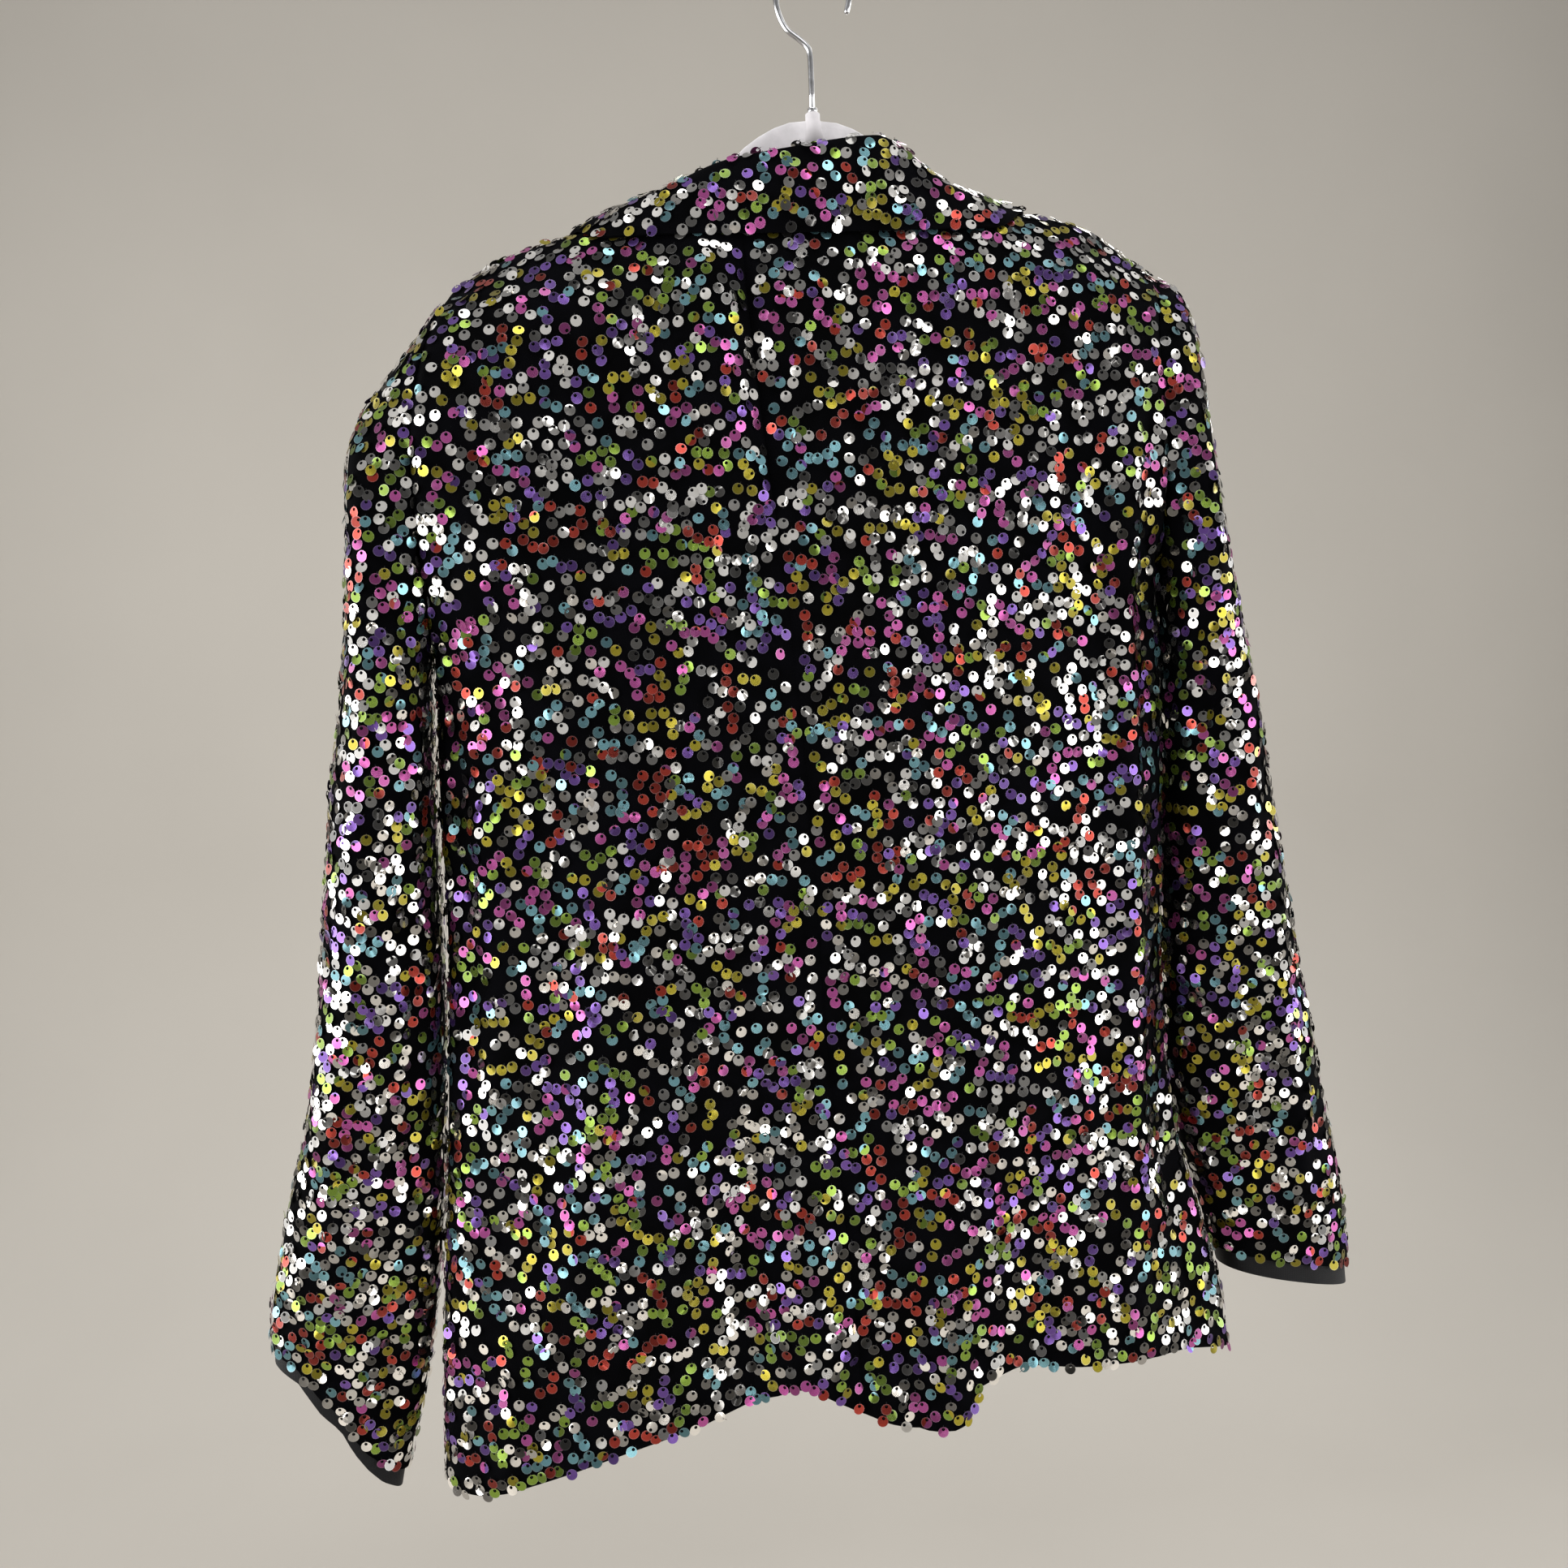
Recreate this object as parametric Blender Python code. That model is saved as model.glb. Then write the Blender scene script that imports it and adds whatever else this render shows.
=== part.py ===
"""Sequin blazer hanging on a flat flocked hanger, seen from its back.

Metres. The origin is the inner top of the hook, where a rail would carry it.
+X is the wearer's right, +Y is the garment's front and +Z is up.
Heights in the tables are given as "down", the drop below the origin.
"""
from math import cos, pi, sin

import bpy
import numpy as np

# Cloth and seams
CLOTH = 0.002
GAP = 0.0003
LAP = CLOTH + 2 * GAP

# Colours (linear) and finishes
BLACK_CLOTH = (0.006, 0.006, 0.008)
BLACK_BAND = (0.010, 0.010, 0.011)
BLACK_BUTTON = (0.012, 0.012, 0.013)
PALE_FLOCK = (0.56, 0.53, 0.55)
BRIGHT_WIRE = (0.72, 0.72, 0.73)

# Sides and faces of the torso
LEFT, RIGHT = -1, 1
BACK, FRONT = -1, 1

# Outer edge of the torso on each side: armhole first, then side seam
EDGE = {
    LEFT: (
        ("down", "x"),
        (0.209, -0.232),
        (0.250, -0.245),
        (0.300, -0.254),
        (0.350, -0.252),
        (0.420, -0.250),
        (0.500, -0.252),
        (0.600, -0.252),
        (0.680, -0.256),
        (0.770, -0.262),
        (0.850, -0.268),
        (0.945, -0.272),
    ),
    RIGHT: (
        ("down", "x"),
        (0.196, 0.218),
        (0.230, 0.209),
        (0.270, 0.206),
        (0.320, 0.208),
        (0.385, 0.211),
        (0.440, 0.214),
        (0.540, 0.213),
        (0.650, 0.209),
        (0.750, 0.216),
        (0.810, 0.231),
        (0.860, 0.244),
        (0.900, 0.249),
    ),
}
TIP_DOWN = {LEFT: 0.209, RIGHT: 0.196}
UNDERARM_DOWN = {LEFT: 0.420, RIGHT: 0.385}
ARMHOLE_DEPTH = 0.047
ARMHOLE_SQUARE = 1.1

# Top line of the cloth over the hanger, through both shoulder seams
RIDGE = (
    ("x", "down"),
    (-0.236, 0.2120),
    (-0.223, 0.2005),
    (-0.208, 0.1920),
    (-0.190, 0.1830),
    (-0.169, 0.1755),
    (-0.150, 0.1700),
    (-0.120, 0.1600),
    (-0.090, 0.1500),
    (-0.050, 0.1470),
    (0.000, 0.1450),
    (0.050, 0.1465),
    (0.085, 0.1505),
    (0.120, 0.1570),
    (0.150, 0.1605),
    (0.166, 0.1645),
    (0.185, 0.1740),
    (0.206, 0.1880),
    (0.220, 0.1975),
)
RIDGE_ROUND = 0.070

# Neck opening between the two ends of the shoulder seams
NECK_X = {LEFT: -0.108, RIGHT: 0.084}
NECK_SIDE_DOWN = 0.150
NECK_DROP = 0.022
NECK_FLAT = 0.8

# Half depth of the torso behind and before the shoulder line
DEPTH = (
    ("down", "back", "front"),
    (0.150, 0.050, 0.050),
    (0.250, 0.054, 0.054),
    (0.350, 0.057, 0.058),
    (0.500, 0.055, 0.056),
    (0.700, 0.052, 0.052),
    (0.950, 0.056, 0.054),
)
SIDE_SQUARE = 4.0

# Centre-back seam
BACK_SEAM = (
    ("down", "x"),
    (0.210, -0.053),
    (0.304, -0.046),
    (0.420, -0.036),
    (0.527, -0.029),
    (0.652, -0.025),
    (0.790, -0.017),
    (0.900, -0.010),
)

# Hems across the body, left to right
HEM_DOWN = 0.95
BACK_HEM = (
    ("x", "down"),
    (-0.272, 0.9360),
    (-0.250, 0.9370),
    (-0.205, 0.9250),
    (-0.160, 0.9110),
    (-0.100, 0.8950),
    (-0.058, 0.8850),
    (-0.030, 0.8860),
    (-0.012, 0.8970),
    (0.006, 0.9090),
    (0.026, 0.9135),
    (0.046, 0.9115),
    (0.060, 0.9010),
    (0.074, 0.8915),
    (0.120, 0.8900),
    (0.160, 0.8910),
    (0.207, 0.8890),
    (0.249, 0.9010),
)
FRONT_HEM = (
    ("x", "down"),
    (-0.272, 0.9360),
    (-0.150, 0.9380),
    (0.000, 0.9200),
    (0.120, 0.9080),
    (0.249, 0.9010),
)

# Inner edge of each front: roll line down to the button, then the edge
FRONT_EDGE = {
    LEFT: (
        ("down", "x"),
        (0.1545, -0.108),
        (0.250, -0.073),
        (0.350, -0.034),
        (0.450, 0.008),
        (0.520, 0.036),
        (0.560, 0.042),
        (0.700, 0.046),
        (0.950, 0.052),
    ),
    RIGHT: (
        ("down", "x"),
        (0.1505, 0.084),
        (0.250, 0.063),
        (0.350, 0.038),
        (0.450, 0.012),
        (0.520, -0.004),
        (0.560, 0.000),
        (0.700, 0.006),
        (0.950, 0.012),
    ),
}
BUTTON_DOWN = 0.545
LAP_EASE = 0.060

# Largest folds of the back: ridges above zero, troughs below
BACK_FOLDS = (
    ("top_x", "top_down", "foot_x", "foot_down", "width", "height"),
    (0.186, 0.240, 0.162, 0.900, 0.018, 0.009),
    (0.130, 0.300, 0.120, 0.780, 0.024, -0.005),
    (-0.078, 0.180, -0.064, 0.330, 0.013, 0.008),
    (-0.052, 0.185, -0.045, 0.350, 0.009, -0.006),
    (-0.135, 0.560, -0.200, 0.880, 0.016, 0.008),
    (-0.175, 0.520, -0.235, 0.900, 0.020, -0.006),
    (-0.075, 0.700, -0.085, 0.960, 0.018, -0.010),
    (-0.045, 0.740, -0.040, 0.960, 0.014, 0.008),
    (0.045, 0.760, 0.045, 0.990, 0.026, 0.010),
    (0.098, 0.800, 0.105, 0.980, 0.014, -0.007),
    (0.130, 0.640, 0.060, 0.800, 0.016, 0.005),
)
FRONT_FOLDS = (
    ("top_x", "top_down", "foot_x", "foot_down", "width", "height"),
    (0.176, 0.250, 0.165, 0.900, 0.020, 0.007),
    (-0.200, 0.260, -0.205, 0.920, 0.022, 0.007),
    (-0.120, 0.560, -0.130, 0.980, 0.026, -0.008),
    (0.100, 0.560, 0.110, 0.960, 0.024, -0.008),
)

# Sleeves: outer and inner profile, depth and forward swing at each ring
SLEEVE = {
    LEFT: (
        ("outer_x", "outer_down", "inner_x", "inner_down", "depth", "forward"),
        (-0.2320, 0.2090, -0.2500, 0.4200, 0.047, 0.000),
        (-0.2490, 0.2330, -0.2515, 0.4270, 0.048, 0.001),
        (-0.2695, 0.2580, -0.2520, 0.4340, 0.049, 0.002),
        (-0.2880, 0.2850, -0.2525, 0.4410, 0.050, 0.003),
        (-0.2938, 0.3180, -0.2530, 0.4490, 0.051, 0.004),
        (-0.2956, 0.3560, -0.2532, 0.4580, 0.052, 0.005),
        (-0.2994, 0.4000, -0.2535, 0.4690, 0.052, 0.006),
        (-0.3057, 0.4480, -0.2540, 0.4850, 0.051, 0.007),
        (-0.3145, 0.5000, -0.2545, 0.5080, 0.050, 0.008),
        (-0.3193, 0.5400, -0.2545, 0.5420, 0.048, 0.009),
        (-0.3240, 0.5800, -0.2545, 0.5800, 0.046, 0.010),
        (-0.3288, 0.6200, -0.2550, 0.6200, 0.044, 0.011),
        (-0.3335, 0.6600, -0.2565, 0.6620, 0.042, 0.012),
        (-0.3405, 0.7000, -0.2590, 0.7050, 0.040, 0.013),
        (-0.3495, 0.7360, -0.2620, 0.7480, 0.037, 0.014),
        (-0.3588, 0.7680, -0.2655, 0.7920, 0.034, 0.015),
        (-0.3650, 0.7980, -0.2730, 0.8440, 0.031, 0.015),
        (-0.3703, 0.8190, -0.2820, 0.8890, 0.025, 0.014),
        (-0.3725, 0.8410, -0.2935, 0.9310, 0.021, 0.013),
    ),
    RIGHT: (
        ("outer_x", "outer_down", "inner_x", "inner_down", "depth", "forward"),
        (0.2180, 0.1960, 0.2110, 0.3850, 0.047, 0.000),
        (0.2355, 0.2110, 0.2125, 0.3920, 0.048, 0.001),
        (0.2420, 0.2380, 0.2135, 0.3990, 0.049, 0.002),
        (0.2450, 0.2700, 0.2145, 0.4070, 0.050, 0.003),
        (0.2475, 0.3050, 0.2150, 0.4160, 0.051, 0.004),
        (0.2526, 0.3420, 0.2155, 0.4270, 0.052, 0.005),
        (0.2588, 0.3800, 0.2160, 0.4400, 0.052, 0.006),
        (0.2669, 0.4230, 0.2160, 0.4590, 0.051, 0.007),
        (0.2770, 0.4700, 0.2160, 0.4850, 0.050, 0.008),
        (0.2851, 0.5200, 0.2155, 0.5240, 0.048, 0.009),
        (0.2923, 0.5620, 0.2150, 0.5640, 0.046, 0.010),
        (0.2994, 0.6040, 0.2145, 0.6040, 0.044, 0.011),
        (0.3065, 0.6460, 0.2140, 0.6440, 0.042, 0.012),
        (0.3153, 0.6880, 0.2150, 0.6820, 0.040, 0.013),
        (0.3220, 0.7300, 0.2180, 0.7200, 0.037, 0.014),
        (0.3303, 0.7680, 0.2240, 0.7560, 0.034, 0.015),
        (0.3365, 0.8020, 0.2330, 0.7860, 0.032, 0.015),
        (0.3402, 0.8340, 0.2400, 0.8140, 0.030, 0.015),
        (0.3420, 0.8610, 0.2460, 0.8420, 0.028, 0.015),
    ),
}
SLEEVE_ROUND = 2.3
BLEND_RINGS = 6
UNDER_SLEEVE = (7, 13)

# Plain band inside each cuff, showing below the sequined cloth
BAND_HIDDEN = 0.018
BAND_SHOWN = {LEFT: 0.010, RIGHT: 0.014}

# Collar stations from the left front round the neck to the right front.
# The seam sits on the neckline and the edge on the panel that "face" names,
# 0 being the shoulder seam itself. "roll_out" is how far the roll line stands
# off the seam.
COLLAR = (
    ("face", "seam_x", "seam_down", "roll_x", "roll_out", "roll_down", "edge_x", "edge_down"),
    (FRONT, -0.0795, 0.232, -0.0765, 0.0040, 0.231, -0.150, 0.252),
    (FRONT, -0.0955, 0.190, -0.0925, 0.0040, 0.184, -0.160, 0.212),
    (FRONT, -0.1045, 0.162, -0.1010, 0.0040, 0.156, -0.158, 0.182),
    (0, -0.1055, 0.153, -0.1030, 0.0000, 0.1500, -0.153, 0.171),
    (BACK, -0.0930, 0.160, -0.0890, 0.0050, 0.1470, -0.138, 0.180),
    (BACK, -0.0600, 0.167, -0.0600, 0.0060, 0.1370, -0.092, 0.182),
    (BACK, -0.0200, 0.167, -0.0200, 0.0070, 0.1305, -0.035, 0.182),
    (BACK, 0.0160, 0.165, 0.0180, 0.0070, 0.1240, 0.020, 0.181),
    (BACK, 0.0480, 0.160, 0.0400, 0.0060, 0.1230, 0.072, 0.179),
    (BACK, 0.0720, 0.155, 0.0610, 0.0040, 0.1390, 0.112, 0.174),
    (0, 0.0812, 0.151, 0.0770, 0.0020, 0.1460, 0.134, 0.160),
    (FRONT, 0.0810, 0.168, 0.0765, 0.0040, 0.1600, 0.142, 0.182),
    (FRONT, 0.0750, 0.195, 0.0720, 0.0040, 0.1900, 0.146, 0.212),
    (FRONT, 0.0665, 0.232, 0.0635, 0.0040, 0.2310, 0.138, 0.252),
)
ROLL_HALF = 0.0022
SEAM_LIFT = 0.0009
SEAM_INSIDE = 0.0028
FALL_LIFT = CLOTH / 2 + 0.0018
FALL_BULGE = 0.003

# Lapels: top corner and point of the turned-back front
LAPEL_TOP = 0.2325
LAPEL_FOOT = 0.445
LAPEL_WIDE = 0.078
LAPEL_RISE = 0.026
LAPEL_LIFT = CLOTH + 0.0012
LAPEL_BEND = 1.6
LAPEL_SPARE = 0.004

# Button
BUTTON_RADIUS = 0.010
BUTTON_THICK = 0.0035
BUTTON_X = 0.018
BUTTON_SIDES = 28

# Hanger: top and bottom line of one arm, mirrored to the other
HANGER_ARM = (
    ("x", "top", "bottom"),
    (0.0000, 0.0985, 0.152),
    (0.0150, 0.1000, 0.152),
    (0.0250, 0.1035, 0.153),
    (0.0350, 0.1090, 0.155),
    (0.0440, 0.1155, 0.157),
    (0.0520, 0.1230, 0.160),
    (0.0600, 0.1340, 0.163),
    (0.0670, 0.1450, 0.166),
    (0.0780, 0.1535, 0.170),
    (0.0950, 0.1585, 0.175),
    (0.1200, 0.1645, 0.181),
    (0.1500, 0.1725, 0.188),
    (0.1800, 0.1845, 0.198),
    (0.2000, 0.1940, 0.206),
    (0.2100, 0.2000, 0.209),
)
HANGER_THICK = 0.006
HANGER_SIDES = 16
NECK_RADIUS = 0.0046
NECK_TOP = 0.094
NECK_FOOT = 0.112
NECK_FLARE = 0.101
NECK_WAIST = 0.098
BORE_DEEP = 0.012

# Hook wire, from its foot in the neck to its tip
HOOK_RADIUS = 0.0018
HOOK = (
    ("x", "z"),
    (0.0000, -0.1055),
    (0.0000, -0.0800),
    (0.0000, -0.0600),
    (-0.0015, -0.0535),
    (-0.0075, -0.0480),
    (-0.0140, -0.0430),
    (-0.0185, -0.0345),
    (-0.0202, -0.0240),
    (-0.0180, -0.0125),
    (-0.0115, -0.0035),
    (-0.0020, 0.0012),
    (0.0080, 0.0008),
    (0.0175, -0.0040),
    (0.0240, -0.0120),
    (0.0262, -0.0220),
    (0.0245, -0.0310),
)
HOOK_SIDES = 14

# Places round an armhole, in degrees from the shoulder tip to the underarm
ARMHOLE_ANGLES = (0, 8, 22, 40, 60, 80, 100, 120, 140, 160, 180)
UNDER_ROW = len(ARMHOLE_ANGLES) - 1

# Mesh density, and the steps that settle a panel's top line on the ridge
TOP_STEPS = 12
BODY_ROWS = 14
PANEL_COLUMNS = 16
COLUMN_CROWD = 1.35
COLLAR_STATIONS = 32
FALL_ROWS = 5
LAPEL_ROWS = 9
LAPEL_COLUMNS = 5


def column(table, name):
    place = table[0].index(name)
    return np.array([row[place] for row in table[1:]], float)


def follow(table, key, name, where):
    """Value of one column where the key column has the given value, smoothly."""
    keys = column(table, key)
    values = column(table, name)
    slopes = np.gradient(values, keys)
    where = np.clip(where, keys[0], keys[-1])
    i = np.clip(np.searchsorted(keys, where) - 1, 0, len(keys) - 2)
    step = keys[i + 1] - keys[i]
    u = (where - keys[i]) / step
    return (
        values[i] * (1 + 2 * u) * (1 - u) ** 2
        + values[i + 1] * (3 - 2 * u) * u**2
        + slopes[i] * step * u * (1 - u) ** 2
        - slopes[i + 1] * step * u**2 * (1 - u)
    )


def unit(vectors):
    length = np.linalg.norm(vectors, axis=-1, keepdims=True)
    return vectors / np.maximum(length, 1e-12)


def grid_normals(grid, ring=False):
    """Unit normals of a grid of points; ring joins its last column to its first."""
    along = np.gradient(grid, axis=0)
    if ring:
        across = np.roll(grid, -1, axis=1) - np.roll(grid, 1, axis=1)
    else:
        across = np.gradient(grid, axis=1)
    return unit(np.cross(along, across))


def without(vectors, axis):
    """The same vectors with one axis taken out, still of unit length."""
    flat = vectors.copy()
    flat[..., axis] = 0.0
    return unit(flat)


def material(name, colour, roughness, metallic=0.0):
    made = bpy.data.materials.new(name)
    made.use_nodes = True
    shader = made.node_tree.nodes["Principled BSDF"]
    shader.inputs["Base Color"].default_value = (*colour, 1.0)
    shader.inputs["Roughness"].default_value = roughness
    shader.inputs["Metallic"].default_value = metallic
    made.diffuse_color = (*colour, 1.0)
    return made


def add_object(name, points, faces, surface, sharp=40):
    mesh = bpy.data.meshes.new(name)
    mesh.from_pydata([tuple(p) for p in points], [], faces)
    mesh.materials.append(surface)
    made = bpy.data.objects.new(name, mesh)
    bpy.context.collection.objects.link(made)
    mesh.shade_smooth()
    mesh.set_sharp_from_angle(angle=sharp * pi / 180)
    return made


def turn_outward(made):
    """Turn the faces of a closed solid to face outward."""
    mesh = made.data
    volume = 0.0
    for face in mesh.polygons:
        corners = [mesh.vertices[i].co for i in face.vertices]
        for k in range(1, len(corners) - 1):
            volume += corners[0].dot(corners[k].cross(corners[k + 1]))
    if volume < 0:
        mesh.flip_normals()


def shell(name, outer, normals, surface, ring=False, thick=CLOTH):
    """A closed sheet: the outer grid, the same grid moved in, and its rims."""
    rows, columns = outer.shape[:2]
    inner = outer - normals * thick
    points = np.concatenate([outer.reshape(-1, 3), inner.reshape(-1, 3)])
    shift = rows * columns
    span = columns if ring else columns - 1
    faces = []
    for i in range(rows - 1):
        for j in range(span):
            a = i * columns + j
            b = i * columns + (j + 1) % columns
            c = b + columns
            d = a + columns
            faces.append((a, d, c, b))
            faces.append((a + shift, b + shift, c + shift, d + shift))
    for j in range(span):
        a, b = j, (j + 1) % columns
        faces.append((a, b, b + shift, a + shift))
        a, b = a + (rows - 1) * columns, b + (rows - 1) * columns
        faces.append((b, a, a + shift, b + shift))
    if not ring:
        for i in range(rows - 1):
            a, b = i * columns, (i + 1) * columns
            faces.append((b, a, a + shift, b + shift))
            a, b = a + columns - 1, b + columns - 1
            faces.append((a, b, b + shift, a + shift))
    made = add_object(name, points, faces, surface)
    turn_outward(made)
    return made


def folds(table, x, down):
    """Height of the soft ridges and troughs of a panel at one place."""
    total = np.zeros_like(x)
    for top_x, top_down, foot_x, foot_down, width, height in table[1:]:
        v = np.clip((down - top_down) / (foot_down - top_down), 0.0, 1.0)
        line = top_x + (foot_x - top_x) * v
        total += height * np.sqrt(np.sin(pi * v)) * np.exp(-(((x - line) / width) ** 2))
    return total


def panel_x(side, face, down, s):
    if face == BACK:
        centre = follow(BACK_SEAM, "down", "x", down)
    else:
        centre = follow(FRONT_EDGE[side], "down", "x", down)
    return centre + (follow(EDGE[side], "down", "x", down) - centre) * s


def panel_top(face, x):
    """Neckline and shoulder seam of a panel, as a drop below the origin."""
    ridge = follow(RIDGE, "x", "down", x)
    if face == FRONT:
        return ridge
    middle = (NECK_X[LEFT] + NECK_X[RIGHT]) / 2
    half = (NECK_X[RIGHT] - NECK_X[LEFT]) / 2
    open_part = np.clip(1 - ((x - middle) / half) ** 2, 0.0, 1.0)
    return ridge + NECK_DROP * open_part**NECK_FLAT


def panel_depth(side, face, x, down, s):
    """Distance of a panel from the shoulder line, at a share s of its width."""
    tip, underarm = TIP_DOWN[side], UNDERARM_DOWN[side]
    v = np.clip((down - tip) / (underarm - tip), 0.0, 1.0)
    end = ARMHOLE_DEPTH * (2 * np.sqrt(v * (1 - v))) ** ARMHOLE_SQUARE
    below = (down - follow(RIDGE, "x", "down", x)) / RIDGE_ROUND
    top = np.sqrt(1 - (1 - np.clip(below, 0.0, 1.0)) ** 2)
    middle = follow(DEPTH, "down", "back" if face == BACK else "front", down) * top
    middle = middle + top * folds(BACK_FOLDS if face == BACK else FRONT_FOLDS, x, down)
    if face == FRONT and side == LEFT:
        lapped = follow(FRONT_EDGE[RIGHT], "down", "x", down) - x
        middle = middle - LAP * np.clip((LAP_EASE - lapped) / (LAP_EASE / 2), 0.0, 1.0)
    return end + (middle - end) * np.sqrt(1 - s**SIDE_SQUARE)


def panel_rows(side):
    """Shares of the length: close rows round the armhole, even rows below it."""
    hem = follow(BACK_HEM, "x", "down", EDGE[side][-1][1])
    under = (UNDERARM_DOWN[side] - TIP_DOWN[side]) / (hem - TIP_DOWN[side])
    armhole = [under * (1 - cos(a * pi / 180)) / 2 for a in ARMHOLE_ANGLES[:-1]]
    return np.array(armhole + list(np.linspace(under, 1.0, BODY_ROWS + 1)))


def panel_grid(side, face):
    """Outer surface of one torso panel: rows go down, columns go outwards."""
    shares = panel_rows(side)
    columns = 1 - (1 - np.linspace(0.0, 1.0, PANEL_COLUMNS + 1)) ** COLUMN_CROWD
    t, s = np.meshgrid(shares, columns, indexing="ij")
    top = np.full_like(s, NECK_SIDE_DOWN)
    for _ in range(TOP_STEPS):
        top = panel_top(face, panel_x(side, face, top, s))
    hem_x = panel_x(side, face, np.full_like(s, HEM_DOWN), s)
    hem = follow(BACK_HEM if face == BACK else FRONT_HEM, "x", "down", hem_x)
    down = top + (hem - top) * t
    x = panel_x(side, face, down, s)
    y = face * panel_depth(side, face, x, down, s)
    return np.stack([x, y, -down], axis=-1)


def panel_normals(side, face, grid):
    normals = grid_normals(grid)
    facing = np.sign(normals[len(grid) // 2, 1, 1]) * face
    normals *= facing
    normals[1:UNDER_ROW, -1] = without(normals[1:UNDER_ROW, -1], 0)
    normals[UNDER_ROW:, -1] = (side, 0.0, 0.0)
    seam = np.abs(grid[0, :, 1]) < RIDGE_ROUND / 100
    normals[0, seam] = without(normals[0, seam], 1)
    normals[0, -1] = (0.0, 0.0, 1.0)
    if face == BACK:
        normals[1:, 0] = without(normals[1:, 0], 0)
    return normals


def build_panel(name, side, face, surface):
    grid = panel_grid(side, face)
    normals = panel_normals(side, face, grid)
    moved = grid + np.array((side * GAP / 2 if face == BACK else 0.0, face * GAP / 2, 0.0))
    return shell(name, moved, normals, surface)


def armhole(side):
    """Closed loop of the armhole: tip, down the back, underarm, up the front."""
    back = panel_grid(side, BACK)[: UNDER_ROW + 1, -1]
    front = panel_grid(side, FRONT)[1:UNDER_ROW, -1]
    return np.concatenate([back, front[::-1]])


def sleeve_grid(side):
    """Outer surface of a whole sleeve: rings run from the armhole to the cuff."""
    angles = np.array(ARMHOLE_ANGLES) * pi / 180
    angles = np.concatenate([angles, 2 * pi - angles[-2:0:-1]])
    power = 2 / SLEEVE_ROUND
    along = np.sign(np.cos(angles)) * np.abs(np.cos(angles)) ** power
    deep = -np.sign(np.sin(angles)) * np.abs(np.sin(angles)) ** power
    rings = []
    for outer_x, outer_down, inner_x, inner_down, depth, forward in SLEEVE[side][1:]:
        outer = np.array((outer_x, 0.0, -outer_down))
        inner = np.array((inner_x, 0.0, -inner_down))
        ring = (outer + inner) / 2 + np.outer(along, (outer - inner) / 2)
        ring[:, 1] = forward + depth * deep
        rings.append(ring)
    rings = np.array(rings)
    drift = armhole(side) - rings[0]
    for k in range(len(rings)):
        rings[k] += drift * max(0.0, 1 - k / BLEND_RINGS) ** 2
    rings[:, :, 0] += side * 1.5 * GAP
    return rings


def sleeve_normals(side, grid):
    normals = grid_normals(grid, ring=True)
    centre = grid.mean(axis=1, keepdims=True)
    normals *= np.sign(np.sum(normals * (grid - centre), axis=(1, 2)).mean())
    toward_body = normals[0, :, 0] * side > 0
    normals[0, toward_body] = without(normals[0, toward_body], 0)
    normals[0, 0] = (0.0, 0.0, 1.0)
    return normals


def build_sleeve(side, word, surface):
    """Top and under sleeve, parted along the hind-arm and fore-arm seams."""
    grid = sleeve_grid(side)
    normals = sleeve_normals(side, grid)
    first, last = UNDER_SLEEVE
    count = grid.shape[1]
    parts = {
        "sleeve_under_" + word: list(range(first, last + 1)),
        "sleeve_top_" + word: [k % count for k in range(last, count + first + 1)],
    }
    for name, columns in parts.items():
        part = grid[:, columns].copy()
        start = unit(part[:, 1] - part[:, 0])
        end = unit(part[:, -2] - part[:, -1])
        part[:, 0] += start * GAP / 2
        part[:, -1] += end * GAP / 2
        shell(name, part, normals[:, columns], surface)


def build_band(side, word, surface):
    """Plain band seated inside the cuff and showing below it."""
    grid = sleeve_grid(side)
    normals = sleeve_normals(side, grid)
    run = grid[-1] - grid[-2]
    length = np.linalg.norm(run, axis=1, keepdims=True)
    rows = []
    row_normals = []
    for reach in (-BAND_HIDDEN, -BAND_HIDDEN / 2, 0.0, BAND_SHOWN[side] / 2, BAND_SHOWN[side]):
        share = 1 + reach / length
        normal = unit(normals[-2] + (normals[-1] - normals[-2]) * np.minimum(share, 1.0))
        rows.append(grid[-2] + run * share - normal * (CLOTH + GAP))
        row_normals.append(normal)
    shell("cuff_band_" + word, np.array(rows), np.array(row_normals), surface, ring=True)


def on_panel(side, face, x, down, lift):
    """Point on a torso panel at the given x and height, moved out in y."""
    if face == BACK:
        centre = follow(BACK_SEAM, "down", "x", down)
    else:
        centre = follow(FRONT_EDGE[side], "down", "x", down)
    s = np.clip((x - centre) / (follow(EDGE[side], "down", "x", down) - centre), 0.0, 1.0)
    depth = panel_depth(side, face, np.asarray(x), np.asarray(down), s)
    return np.stack([x, face * (depth + lift), -np.asarray(down)], axis=-1)


def side_of(x, face, down):
    """Which half a point of the torso belongs to."""
    if face == BACK:
        return RIGHT if x > follow(BACK_SEAM, "down", "x", down) else LEFT
    return RIGHT if x > 0 else LEFT


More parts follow.
